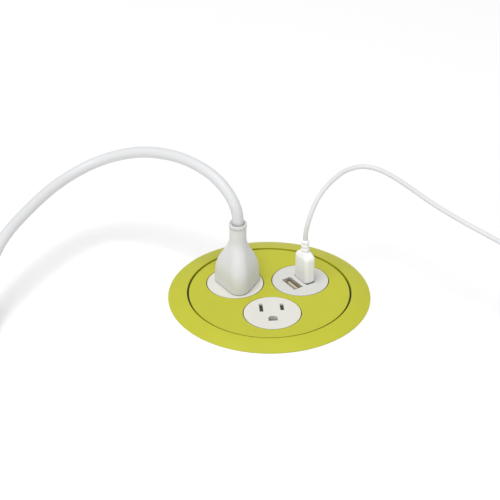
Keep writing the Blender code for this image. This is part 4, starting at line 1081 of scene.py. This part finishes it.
# ---- charging plug ----------------------------------------------------------------------
def make_charging_plug():
    """Moulded plug with a domed shoulder, three strain-relief rings and a metal shell."""
    base = top("charge_plug_shell") + GAP
    waist = 1.95 * MM
    levels = [(base, 0.0, 0.45 * MM, waist), (base + 0.12 * MM, 0.0, 0.15 * MM, waist),
              (base + 0.4 * MM, 0.0, 0.0, waist), (base + 15.4 * MM, 0.0, 0.0, waist)]
    levels += eased([
        (base + 15.6 * MM, 0.0, 0.0, 2.7 * MM), (base + 16.9 * MM, 0.04, 0.2 * MM, 2.7 * MM),
        (base + 18.0 * MM, 0.18, 0.6 * MM, 2.6 * MM), (base + 18.9 * MM, 0.5, 0.6 * MM,
                                                       2.4 * MM),
        (base + 19.5 * MM, 0.88, 0.0, 2.2 * MM), (base + 20.1 * MM, 1.0, 0.0, waist)], 4)
    for k in range(3):
        foot = base + (20.5 + 2.5 * k) * MM
        swell = (0.7 - 0.1 * k) * MM
        for step in range(9):
            angle = pi * step / 8
            levels.append((foot + (1.0 - cos(angle)) * 0.95 * MM, 1.0, 0.0,
                           waist + swell * sin(angle) ** 0.7 if 0 < step < 8 else waist))
    levels = [level for level in levels if level[0] < CHARGE_PLUG_TOP - 0.3 * MM]
    levels += [(CHARGE_PLUG_TOP - 0.2 * MM, 1.0, 0.0, waist),
               (CHARGE_PLUG_TOP, 1.0, 0.0, 1.4 * MM)]
    body = lofted("charging_plug", CHARGE_OUTLINE, (0.0, 0.0), levels)
    low = TONGUE_THICKNESS / 2 + TONGUE_SHIFT + GAP
    high = SHELL_HEIGHT / 2 - SHELL_WALL - GAP
    insert = block("insert", (TONGUE_WIDTH, high - low, 12.0 * MM),
                   (0, (low + high) / 2, base - 5.9 * MM), 0.15 * MM)
    body = joined("charging_plug", [body, insert])
    body.transform(Matrix.Translation((0, PORT_LINES[0], 0)))
    shell_top = top("charge_plug_shell")
    width, height, wall = SHELL_WIDTH, SHELL_HEIGHT, SHELL_WALL
    shell = boxed("charging_plug_shell", (
        (width, height, 0.5 * MM, shell_top), (width, height, 0.5 * MM, SHELL_TIP + 0.3 * MM),
        (width - 0.3 * MM, height - 0.3 * MM, 0.4 * MM, SHELL_TIP),
        (width - 2 * wall, height - 2 * wall, 0.25 * MM, SHELL_TIP),
        (width - 2 * wall, height - 2 * wall, 0.25 * MM, shell_top)), closed=True)
    windows = [block("window", (2.4 * MM, 3 * height, 2.2 * MM),
                     (x, 0, shell_top - 6.4 * MM)) for x in (-2.6 * MM, 2.6 * MM)]
    shell = carved(shell, windows)
    shell.transform(Matrix.Translation((0, PORT_LINES[0], 0)))
    return [
        finished("charging_plug", in_module(body, CHARGER_CENTRE), "charging_plug_plastic",
                 "charge_plug", ("charge_plug_body",), 40.0),
        finished("charging_plug_shell", in_module(shell, CHARGER_CENTRE), "nickel",
                 "charge_plug", ("charge_plug_shell",))]


def make_device_connector():
    """Small connector at the charging lead's far end, and its metal tip."""
    low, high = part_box("device_connector")
    length = high[1] - low[1]
    relief = 9.0 * MM
    half_high = (high[2] - low[2]) / 2
    outline = corners((high[0] - low[0]) / 2, half_high, 2.0 * MM)
    neck = 2.0 * MM
    levels = [(0.0, 1.0, 0.0, 1.5 * MM), (0.3 * MM, 1.0, 0.0, neck)]
    for k in range(3):
        foot = (1.6 + 1.9 * k) * MM
        levels += [(foot, 1.0, 0.0, neck), (foot + 0.15 * MM, 1.0, 0.0, neck - 0.4 * MM),
                   (foot + 0.65 * MM, 1.0, 0.0, neck - 0.4 * MM),
                   (foot + 0.8 * MM, 1.0, 0.0, neck)]
    levels += eased([(relief - 1.6 * MM, 1.0, 0.0, neck), (relief, 0.4, 0.8 * MM, neck),
                     (relief + 2.0 * MM, 0.0, 0.0, neck)], 4)
    levels += [(length - 0.6 * MM, 0.0, 0.0, neck), (length - 0.15 * MM, 0.0, 0.2 * MM, neck),
               (length, 0.0, 0.6 * MM, neck)]
    mesh = lofted("device_plug", outline, (0.0, 0.0), levels)
    to_desk = Matrix.Translation(((low[0] + high[0]) / 2, high[1], (low[2] + high[2]) / 2)) \
        @ Matrix.Rotation(pi / 2, 4, "X")
    mesh.transform(to_desk)
    body = finished("device_plug", mesh, "charging_plug_plastic", "root",
                    ("device_connector",), 40.0)
    tip_low, tip_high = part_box("device_connector_tip")
    foot = high[1] - tip_high[1]
    end = high[1] - tip_low[1]
    width = tip_high[0] - tip_low[0]
    thick = tip_high[2] - tip_low[2]
    tip = boxed("device_plug_tip", (
        (width, thick, 0.6 * MM, foot), (width, thick, 0.6 * MM, end - 0.3 * MM),
        (width - 0.4 * MM, thick - 0.4 * MM, 0.5 * MM, end),
        (width - 1.0 * MM, thick - 0.8 * MM, 0.3 * MM, end),
        (width - 1.0 * MM, thick - 0.8 * MM, 0.3 * MM, end - 4.5 * MM)))
    tip.transform(to_desk)
    return [body, finished("device_plug_tip", tip, "nickel", "root",
                           ("device_connector_tip",))]


# ---- ring and insert --------------------------------------------------------------------
def helix(name, profile, pitch, turns):
    """Mesh of a ridge whose profile climbs the axis."""
    per_turn = 72
    bm = bmesh.new()
    first = loop(bm, [(r, 0.0, z) for r, z in profile])
    bmesh.ops.contextual_create(bm, geom=first)
    verts = list(dict.fromkeys(v for e in first for v in e.verts))
    last = bmesh.ops.spin(bm, geom=verts + first, cent=(0, 0, 0), axis=(0, 0, 1),
                          dvec=(0, 0, pitch / per_turn), angle=tau * turns,
                          steps=round(turns * per_turn), use_merge=False)
    edges = [e for e in last["geom_last"] if isinstance(e, bmesh.types.BMEdge)]
    bmesh.ops.contextual_create(bm, geom=edges)
    return to_mesh(name, bm)


class UNIT_OT_ring(bpy.types.Operator):
    """Bezel ring: low dome, seat for the insert, and the threaded barrel"""
    bl_idname = "unit.ring"
    bl_label = "Bezel ring"

    def execute(self, context):
        sizes = context.scene.moulding_sizes
        width = FLANGE_RADIUS - RING_INNER
        rise = FLANGE_TOP - FLANGE_EDGE
        dome = []
        for k in range(25):
            t = k / 24
            dome.append((RING_INNER + sizes.edge + (width - sizes.edge) * t,
                         FLANGE_TOP - rise * t ** 1.25))
        lip = [(RING_INNER + sizes.edge * (1 - cos(pi / 2 * k / 5)),
                FLANGE_TOP - sizes.edge * (1 - sin(pi / 2 * k / 5))) for k in range(5)]
        root = BARREL_RADIUS - sizes.thread_depth
        low, high, groove = CLIP_GROOVE
        body = [(FLANGE_RADIUS, 0.15 * MM), (FLANGE_RADIUS - 0.15 * MM, 0.0),
                (BARREL_RADIUS, 0.0), (BARREL_RADIUS, -4.0 * MM), (root, -4.7 * MM),
                (root, BARREL_END + 0.6 * MM), (root - 0.6 * MM, BARREL_END),
                (BARREL_BORE + 0.5 * MM, BARREL_END), (BARREL_BORE, BARREL_END + 0.5 * MM),
                (BARREL_BORE, low), (groove, low), (groove, high), (BARREL_BORE, high),
                (BARREL_BORE, LEDGE), (RING_INNER, LEDGE)]
        ring = turned("bezel", lip + dome + body, 192)
        pitch = sizes.thread_pitch
        foot = BARREL_END + 1.2 * MM
        ridge = [(root - 0.2 * MM, foot), (BARREL_RADIUS, foot + 0.5 * MM),
                 (BARREL_RADIUS, foot + 1.1 * MM), (root - 0.2 * MM, foot + 1.6 * MM)]
        turns = (-5.0 * MM - foot - 1.6 * MM) / pitch
        thread = helix("thread", ridge, pitch, turns)
        even_normals(finished("bezel", joined("bezel", [ring, thread]), "lime_plastic",
                              "root", ("bezel_ring",)))
        return {"FINISHED"}


class UNIT_OT_insert(bpy.types.Operator):
    """Insert plate with its three seats, skirt, screw bosses and black seals that stand in for
    the shade in the gaps (painted shade)
    """
    bl_idname = "unit.insert"
    bl_label = "Insert"

    def execute(self, context):
        sizes = context.scene.moulding_sizes
        outlines = [circle(INSERT_RADIUS, count=192)]
        outlines += [circle(SEAT_RADIUS, centre, 96) for centre in MODULE_CENTRES]
        disc = plate("insert", outlines, INSERT_UNDER, INSERT_TOP, sizes.edge)
        overlap = 0.2 * MM
        skirt = turned("skirt", arcs(
            [(SKIRT_RADIUS, INSERT_UNDER + overlap), (SKIRT_RADIUS, SKIRT_END),
             (SKIRT_BORE, SKIRT_END), (SKIRT_BORE, INSERT_UNDER + overlap)], 0.3 * MM), 96)
        bosses = []
        for place in SCREW_PLACES:
            bosses.append(turned("boss", arcs(
                [(0.0, INSERT_UNDER + overlap), (BOSS_RADIUS, INSERT_UNDER + overlap),
                 (BOSS_RADIUS, BOSS_END), (1.6 * MM, BOSS_END), (1.6 * MM, -33.0 * MM),
                 (0.0, -33.0 * MM)], 0.3 * MM, False), 40, place, False))
        even_normals(finished("insert", joined("insert", [disc, skirt] + bosses),
                              "lime_plastic", "root", ("insert_disc",)))
        # Black rings at the feet of the insert's gap and the faces' gaps: painted shade.
        self.make_shade_seal("insert_shade_seal", (RING_INNER - 0.1 * MM, BARREL_BORE + 0.3 * MM))
        for name, centre in zip(("left", "front", "charger"), MODULE_CENTRES):
            self.make_shade_seal(f"{name}_shade_seal", (RIM_RADIUS - 0.2 * MM, FACE_RADIUS + 0.1 * MM),
                           centre)
        return {"FINISHED"}

    def make_shade_seal(self, name, radii, at=(0.0, 0.0)):
        """Thin black ring at the foot of a gap, standing in for the shade that falls there:
        painted shade.
        """
        outer, inner = radii
        low, high = LEDGE + 0.03 * MM, INSERT_UNDER - 0.03 * MM
        finished(name, turned(name, [(outer, low), (outer, high), (inner, high), (inner, low)],
                              128, at), "black_plastic")


# ---- module faces -----------------------------------------------------------------------
def face_blank(name, edge):
    """Round face on its hidden rim, in the module's own frame."""
    return turned(name, arcs(
        [(0.0, FACE_TOP), (FACE_RADIUS, FACE_TOP), (FACE_RADIUS, RIM_TOP),
         (RIM_RADIUS, RIM_TOP), (RIM_RADIUS, FACE_UNDER), (0.0, FACE_UNDER)], edge,
        False), 128, closed=False)


class UNIT_OT_outlet_faces(bpy.types.Operator):
    """Both outlet faces: two slots and a ground opening with round lips"""
    bl_idname = "unit.outlet_faces"
    bl_label = "Outlet faces"

    def execute(self, context):
        sizes = context.scene.moulding_sizes
        for side, centre in (("left", LEFT_CENTRE), ("front", FRONT_CENTRE)):
            face = face_blank(f"{side}_face", sizes.edge)
            roof = FACE_TOP - FACE_SKIN
            deep = FACE_UNDER - 1.0 * MM
            cutters = []
            for x, long in ((-BLADE_X, NEUTRAL_SLOT), (BLADE_X, LINE_SLOT)):
                cutters.append(opening(
                    "slot", lambda grow, x=x, long=long: rectangle(
                        SLOT_WIDTH + 2 * grow, long + 2 * grow, (x, BLADE_LINE),
                        0.35 * MM + grow), deep, FACE_TOP, sizes.lip))
            cutters.append(opening("ground", ground_outline, deep, FACE_TOP, sizes.lip))
            left = -BLADE_X - SLOT_WIDTH / 2 - SHUTTER_ROOM[0]
            right = BLADE_X + SLOT_WIDTH / 2 + SHUTTER_ROOM[1]
            reach = SHUTTER_HALF + GAP
            cutters.append(block("space", (right - left, 2 * reach, roof - deep),
                                 ((left + right) / 2, BLADE_LINE, (roof + deep) / 2)))
            start, end, channel = SPRING_CHANNEL
            cutters.append(block(
                "channel", (end - start, channel + 1.0 * MM, roof - deep),
                ((start + end) / 2, BLADE_LINE - reach - channel / 2, (roof + deep) / 2)))
            mesh = in_module(carved(face, cutters), centre)
            even_normals(finished(f"{side}_face", mesh, "white_plastic", "root",
                                  (f"{side}_outlet_face",)))
        return {"FINISHED"}


class UNIT_OT_charger(bpy.types.Operator):
    """Charger face and its two ports, each with a shell, a tongue and four contacts"""
    bl_idname = "unit.charger"
    bl_label = "Charger"

    def execute(self, context):
        sizes = context.scene.moulding_sizes
        face = face_blank("charger_cover", sizes.edge)
        cutters = [opening("port", lambda grow, y=y: rectangle(
            PORT_WIDTH + 2 * GAP + 2 * grow, PORT_HEIGHT + 2 * GAP + 2 * grow, (0, y),
            0.5 * MM + grow), FACE_UNDER - 1.0 * MM, FACE_TOP, sizes.lip)
            for y in PORT_LINES]
        mesh = in_module(carved(face, cutters), CHARGER_CENTRE)
        even_normals(finished("charger_cover", mesh, "charger_white_plastic", "root",
                              ("charger_face",)))
        for name, y in zip(("outer", "inner"), PORT_LINES):
            self.make_port(name, y)
        return {"FINISHED"}

    def make_port(self, name, y):
        width, height, wall = PORT_WIDTH, PORT_HEIGHT, PORT_WALL
        flare = 0.25 * MM
        shell = boxed(f"{name}_port", (
            (width, height, 0.7 * MM, PORT_FOOT), (width, height, 0.7 * MM, PORT_TOP),
            (width - 2 * wall + flare, height - 2 * wall + flare, 0.5 * MM, PORT_TOP),
            (width - 2 * wall, height - 2 * wall, 0.4 * MM, PORT_TOP - flare),
            (width - 2 * wall, height - 2 * wall, 0.4 * MM, PORT_FOOT)), (0, y), True)
        finished(f"{name}_port", in_module(shell, CHARGER_CENTRE), "nickel", "root",
                 (f"{name}_port_shell",))
        foot = block("foot", (width - 1.2 * MM, height - 1.2 * MM, 3.0 * MM),
                     (0, y, PORT_FOOT + 1.5 * MM), 0.2 * MM)
        line = y + TONGUE_SHIFT
        chamfer = 0.6 * MM
        blade = boxed("tongue", (
            (TONGUE_WIDTH, TONGUE_THICKNESS, 0.2 * MM, PORT_FOOT + 2.0 * MM),
            (TONGUE_WIDTH, TONGUE_THICKNESS, 0.2 * MM, TONGUE_TOP - 0.5 * MM),
            (TONGUE_WIDTH - chamfer, TONGUE_THICKNESS - chamfer, 0.2 * MM, TONGUE_TOP)),
            (0, line))
        tongue = joined(f"{name}_tongue", [foot, blade])
        finished(f"{name}_tongue", in_module(tongue, CHARGER_CENTRE), "tongue_plastic",
                 "root", (f"{name}_port_tongue",))
        contacts = []
        for x in CONTACT_PLACES:
            contacts.append(block(
                "contact", (1.1 * MM, 0.22 * MM, 8.6 * MM),
                (x, line + 0.8 * MM, TONGUE_TOP - 5.6 * MM), 0.08 * MM))
        finished(f"{name}_port_contacts",
                 in_module(joined(f"{name}_port_contacts", contacts), CHARGER_CENTRE),
                 "brass")


class UNIT_OT_shutter_springs(bpy.types.Operator):
    """The two shutters' return springs; the front one gets a mesh of its own"""
    bl_idname = "unit.shutter_springs"
    bl_label = "Shutter springs"

    def execute(self, context):
        for side, centre in (("left", LEFT_CENTRE), ("front", FRONT_CENTRE)):
            spring = self.make_spring(side, centre)
            if side == "front":
                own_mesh(spring)
        return {"FINISHED"}

    def make_spring(self, side, centre):
        wire = 0.2 * MM
        coil = 1.0 * MM
        node = frame["nodes"][f"{side}_shutter_spring"]
        to_module = module_matrix(centre).inverted()
        inside = [to_module @ v.co for v in node.data.vertices]
        start = min(v.x for v in inside) + wire
        end = max(v.x for v in inside) - wire
        height = (max(v.z for v in inside) + min(v.z for v in inside)) / 2
        line = (max(v.y for v in inside) + min(v.y for v in inside)) / 2
        rounds = 7 if side == "front" else 6
        count = rounds * 16
        points = []
        for k in range(count + 1):
            angle = tau * rounds * k / count
            points.append(Vector((start + (end - start) * k / count,
                                  line + coil * cos(angle), height + coil * sin(angle))))
        mesh = in_module(tube_mesh(f"{side}_spring", points, wire), centre)
        return finished(f"{side}_spring", mesh, "spring_steel", "root",
                        (f"{side}_shutter_spring",), 60.0)


# ---- housing and clamp ------------------------------------------------------------------
class UNIT_OT_housing(bpy.types.Operator):
    """Housing cup with its cord bushing and three pan-head screws"""
    bl_idname = "unit.housing"
    bl_label = "Housing"

    def execute(self, context):
        bore = CUP_RADIUS - CUP_WALL
        inside = CUP_UNDER + CUP_FLOOR
        cup = turned("housing", arcs(
            [(0.0, inside), (bore, inside), (bore, CUP_TOP), (CUP_RADIUS, CUP_TOP),
             (CUP_RADIUS, CUP_UNDER), (0.0, CUP_UNDER)], 0.9 * MM, False), 128,
            closed=False)
        holes = [drill(SCREW_HOLE, inside + GAP, CUP_UNDER - GAP, place)
                 for place in SCREW_PLACES]
        holes.append(drill(BUSHING_HOLE, inside + GAP, CUP_UNDER - GAP, INLET_PLACE, 48))
        holes += [block("slot", (6.0 * MM, 8.6 * MM, 1.2 * MM),
                        (s * (CUP_RADIUS - 1.0 * MM), 0, -32.0 * MM)) for s in (-1, 1)]
        even_normals(finished("housing", carved(cup, holes), "black_plastic", "root",
                              ("housing_cup",)))
        for number, place in enumerate(SCREW_PLACES, 1):
            self.make_screw(number, place)
        self.make_bushing(inside)
        return {"FINISHED"}

    def make_screw(self, number, place):
        node = f"housing_screw_{number}"
        low, high = bottom(node), top(node)
        under = CUP_UNDER - GAP
        head = turned("screw", arcs(
            [(0.0, high), (0.3 * MM, high), (SCREW_CORE, high - 1.2 * MM),
             (SCREW_CORE, under), (SCREW_HEAD, under), (SCREW_HEAD, under - 1.0 * MM),
             (1.9 * MM, low), (0.0, low)], 0.35 * MM, False), 48, closed=False)
        cross = [block("cross", size, (0, 0, low + 0.3 * MM))
                 for size in ((2.6 * MM, 0.6 * MM, 1.6 * MM), (0.6 * MM, 2.6 * MM, 1.6 * MM))]
        head = carved(head, cross)
        thread = helix("thread", [(1.15 * MM, under + 0.8 * MM), (1.28 * MM, under + 1.1 * MM),
                                  (1.15 * MM, under + 1.4 * MM)], 1.1 * MM, 7.0)
        mesh = joined(f"screw_{number}", [head, thread])
        mesh.transform(Matrix.Translation((place[0], place[1], 0)))
        finished(f"screw_{number}", mesh, "spring_steel", "root", (node,))

    def make_bushing(self, inside):
        high, low = top("cord_inlet"), bottom("cord_inlet")
        neck = BUSHING_HOLE - GAP
        latch, flange = neck + 1.3 * MM, neck + 2.5 * MM
        mesh = turned("bushing", arcs(
            [(BUSHING_BORE, high), (latch, inside + 1.5 * MM), (latch, inside + GAP),
             (neck, inside + GAP), (neck, CUP_UNDER - GAP), (flange, CUP_UNDER - GAP),
             (flange, CUP_UNDER - 2.2 * MM), (BUSHING_BORE, low)], 0.4 * MM), 64,
            INLET_PLACE)
        finished("bushing", mesh, "black_plastic", "root", ("cord_inlet",))


class UNIT_OT_clamp(bpy.types.Operator):
    """Pressed washer and lugged ring nut that hold the unit on its desk"""
    bl_idname = "unit.clamp"
    bl_label = "Clamp"

    def execute(self, context):
        ribs_between = context.scene.moulding_sizes.grip_ribs
        bore = NUT_BORE + 0.2 * MM
        washer = turned("washer", arcs(
            [(WASHER_RADIUS, WASHER_TOP), (WASHER_RADIUS, WASHER_UNDER),
             (bore, WASHER_UNDER), (bore, WASHER_TOP)], 0.5 * MM), 160)
        even_normals(finished("washer", washer, "spring_steel", "clamp_washer",
                              ("clamp_washer",)))
        nut = turned("nut", arcs(
            [(NUT_RADIUS, NUT_TOP), (NUT_RADIUS, NUT_UNDER), (NUT_BORE, NUT_UNDER),
             (NUT_BORE, NUT_TOP)], 0.8 * MM), 160)
        parts = [nut]
        height = NUT_TOP - NUT_UNDER
        for lug in range(NUT_LUGS):
            part = block("lug", (7.0 * MM, 7.0 * MM, height * 0.7),
                         (NUT_RADIUS - 0.3 * MM, 0, NUT_TOP - height * 0.45), 0.8 * MM)
            part.transform(Matrix.Rotation(tau * lug / NUT_LUGS, 4, "Z"))
            parts.append(part)
            for rib in range(1, ribs_between + 1):
                angle = tau * (lug + 0.12 + 0.76 * (rib - 0.5) / ribs_between) / NUT_LUGS
                part = block("rib", (1.2 * MM, 1.6 * MM, height * 0.62),
                             (NUT_RADIUS + 0.1 * MM, 0, NUT_TOP - height * 0.46), 0.3 * MM)
                part.transform(Matrix.Rotation(angle, 4, "Z"))
                parts.append(part)
        even_normals(finished("nut", joined("nut", parts), "black_plastic", "clamp_nut",
                              ("clamp_nut",)))
        return {"FINISHED"}


# ---- stage ------------------------------------------------------------------------------
DESK_SIZE = 6.0
DESK_THICKNESS = 25.0 * MM
DESK_HOLE = 52.0 * MM
LAMP_DISTANCE = 3.0
LAMP_SIZE = 1.4
KEY_TOWARD = (-0.2, -0.15, 1.0)
FILL_TOWARD = (-0.2, -1.0, 0.5)
SENSOR_WIDTH = 36.0                 # millimetres, like the lens


class UNIT_OT_stage(bpy.types.Operator):
    """White desk with a hole for the barrel, soft lights, and the camera"""
    bl_idname = "unit.stage"
    bl_label = "Stage"

    def execute(self, context):
        sizes = context.scene.stage_sizes
        scene = context.scene
        finish = Finish("desk_white")
        speck = finish.noise(90.0, 4.0, 0.6)
        finish.finished(
            Base_Color=finish.mixed(speck, (0.895, 0.895, 0.895), (0.905, 0.905, 0.905)),
            Roughness=speck.between(0.3, 0.7, 0.78, 0.86), Specular_IOR_Level=0.2)
        mesh = plate("desk", [rectangle(DESK_SIZE, DESK_SIZE, corner=0.1),
                              circle(DESK_HOLE)], -DESK_THICKNESS, 0.0)
        mesh.materials.append(finish.material)
        desk = bpy.data.objects.new("desk", mesh)
        scene.collection.objects.link(desk)

        world = bpy.data.worlds.new("studio")
        world.use_nodes = True
        sky = world.node_tree.nodes["Background"]
        sky.inputs["Color"].default_value = (1.0, 1.0, 1.0, 1.0)
        sky.inputs["Strength"].default_value = sizes.sky
        scene.world = world
        scene.view_settings.view_transform = "Standard"

        for name, power, toward in (("key", sizes.key, KEY_TOWARD),
                                    ("fill", sizes.fill, FILL_TOWARD)):
            lamp = bpy.data.lights.new(name, "AREA")
            lamp.shape = "DISK"
            lamp.size = LAMP_SIZE
            lamp.energy = power
            light = bpy.data.objects.new(name, lamp)
            toward = Vector(toward).normalized()
            light.location = toward * LAMP_DISTANCE
            light.rotation_euler = toward.to_track_quat("Z", "Y").to_euler()
            scene.collection.objects.link(light)

        view = bpy.data.cameras.new("camera")
        view.lens = sizes.lens
        view.sensor_width = SENSOR_WIDTH
        view.clip_start = 0.05
        camera = bpy.data.objects.new("camera", view)
        turn = Matrix.Rotation(sizes.azimuth, 3, "Z")
        rise = sizes.elevation
        right = turn @ Vector((1, 0, 0))
        up = turn @ Vector((0, sin(rise), cos(rise)))
        back = turn @ Vector((0, -cos(rise), sin(rise)))
        camera.location = (sizes.distance * back + sizes.aim_right * right
                           + sizes.aim_up * up)
        camera.rotation_euler = back.to_track_quat("Z", "Y").to_euler()
        scene.collection.objects.link(camera)
        scene.camera = camera
        return {"FINISHED"}


STEPS = (
    UNIT_OT_stage,
    UNIT_OT_finishes,
    UNIT_OT_power_lead,
    UNIT_OT_charging_lead,
    UNIT_OT_ring,
    UNIT_OT_insert,
    UNIT_OT_outlet_faces,
    UNIT_OT_charger,
    UNIT_OT_shutter_springs,
    UNIT_OT_housing,
    UNIT_OT_clamp,
)


class UNIT_PT_panel(bpy.types.Panel):
    """Lists the unit's steps and its sizes and colours"""
    bl_idname = "UNIT_PT_panel"
    bl_label = "Desk power unit"
    bl_space_type = "VIEW_3D"
    bl_region_type = "UI"
    bl_category = "Power unit"

    def draw(self, context):
        for step in STEPS:
            self.layout.operator(step.bl_idname)
        for name, group in SETTINGS.items():
            box = self.layout.box()
            for prop in group.__annotations__:
                box.prop(getattr(context.scene, name), prop)


def register():
    for cls in (*SETTINGS.values(), *STEPS, UNIT_PT_panel):
        bpy.utils.register_class(cls)
    for name, group in SETTINGS.items():
        setattr(bpy.types.Scene, name, PointerProperty(type=group))


def unregister():
    for name in SETTINGS:
        delattr(bpy.types.Scene, name)
    for cls in reversed((*SETTINGS.values(), *STEPS, UNIT_PT_panel)):
        bpy.utils.unregister_class(cls)


def main():
    register()
    for step in STEPS:
        group, name = step.bl_idname.split(".")
        getattr(getattr(bpy.ops, group), name)()


if __name__ == "__main__":
    main()
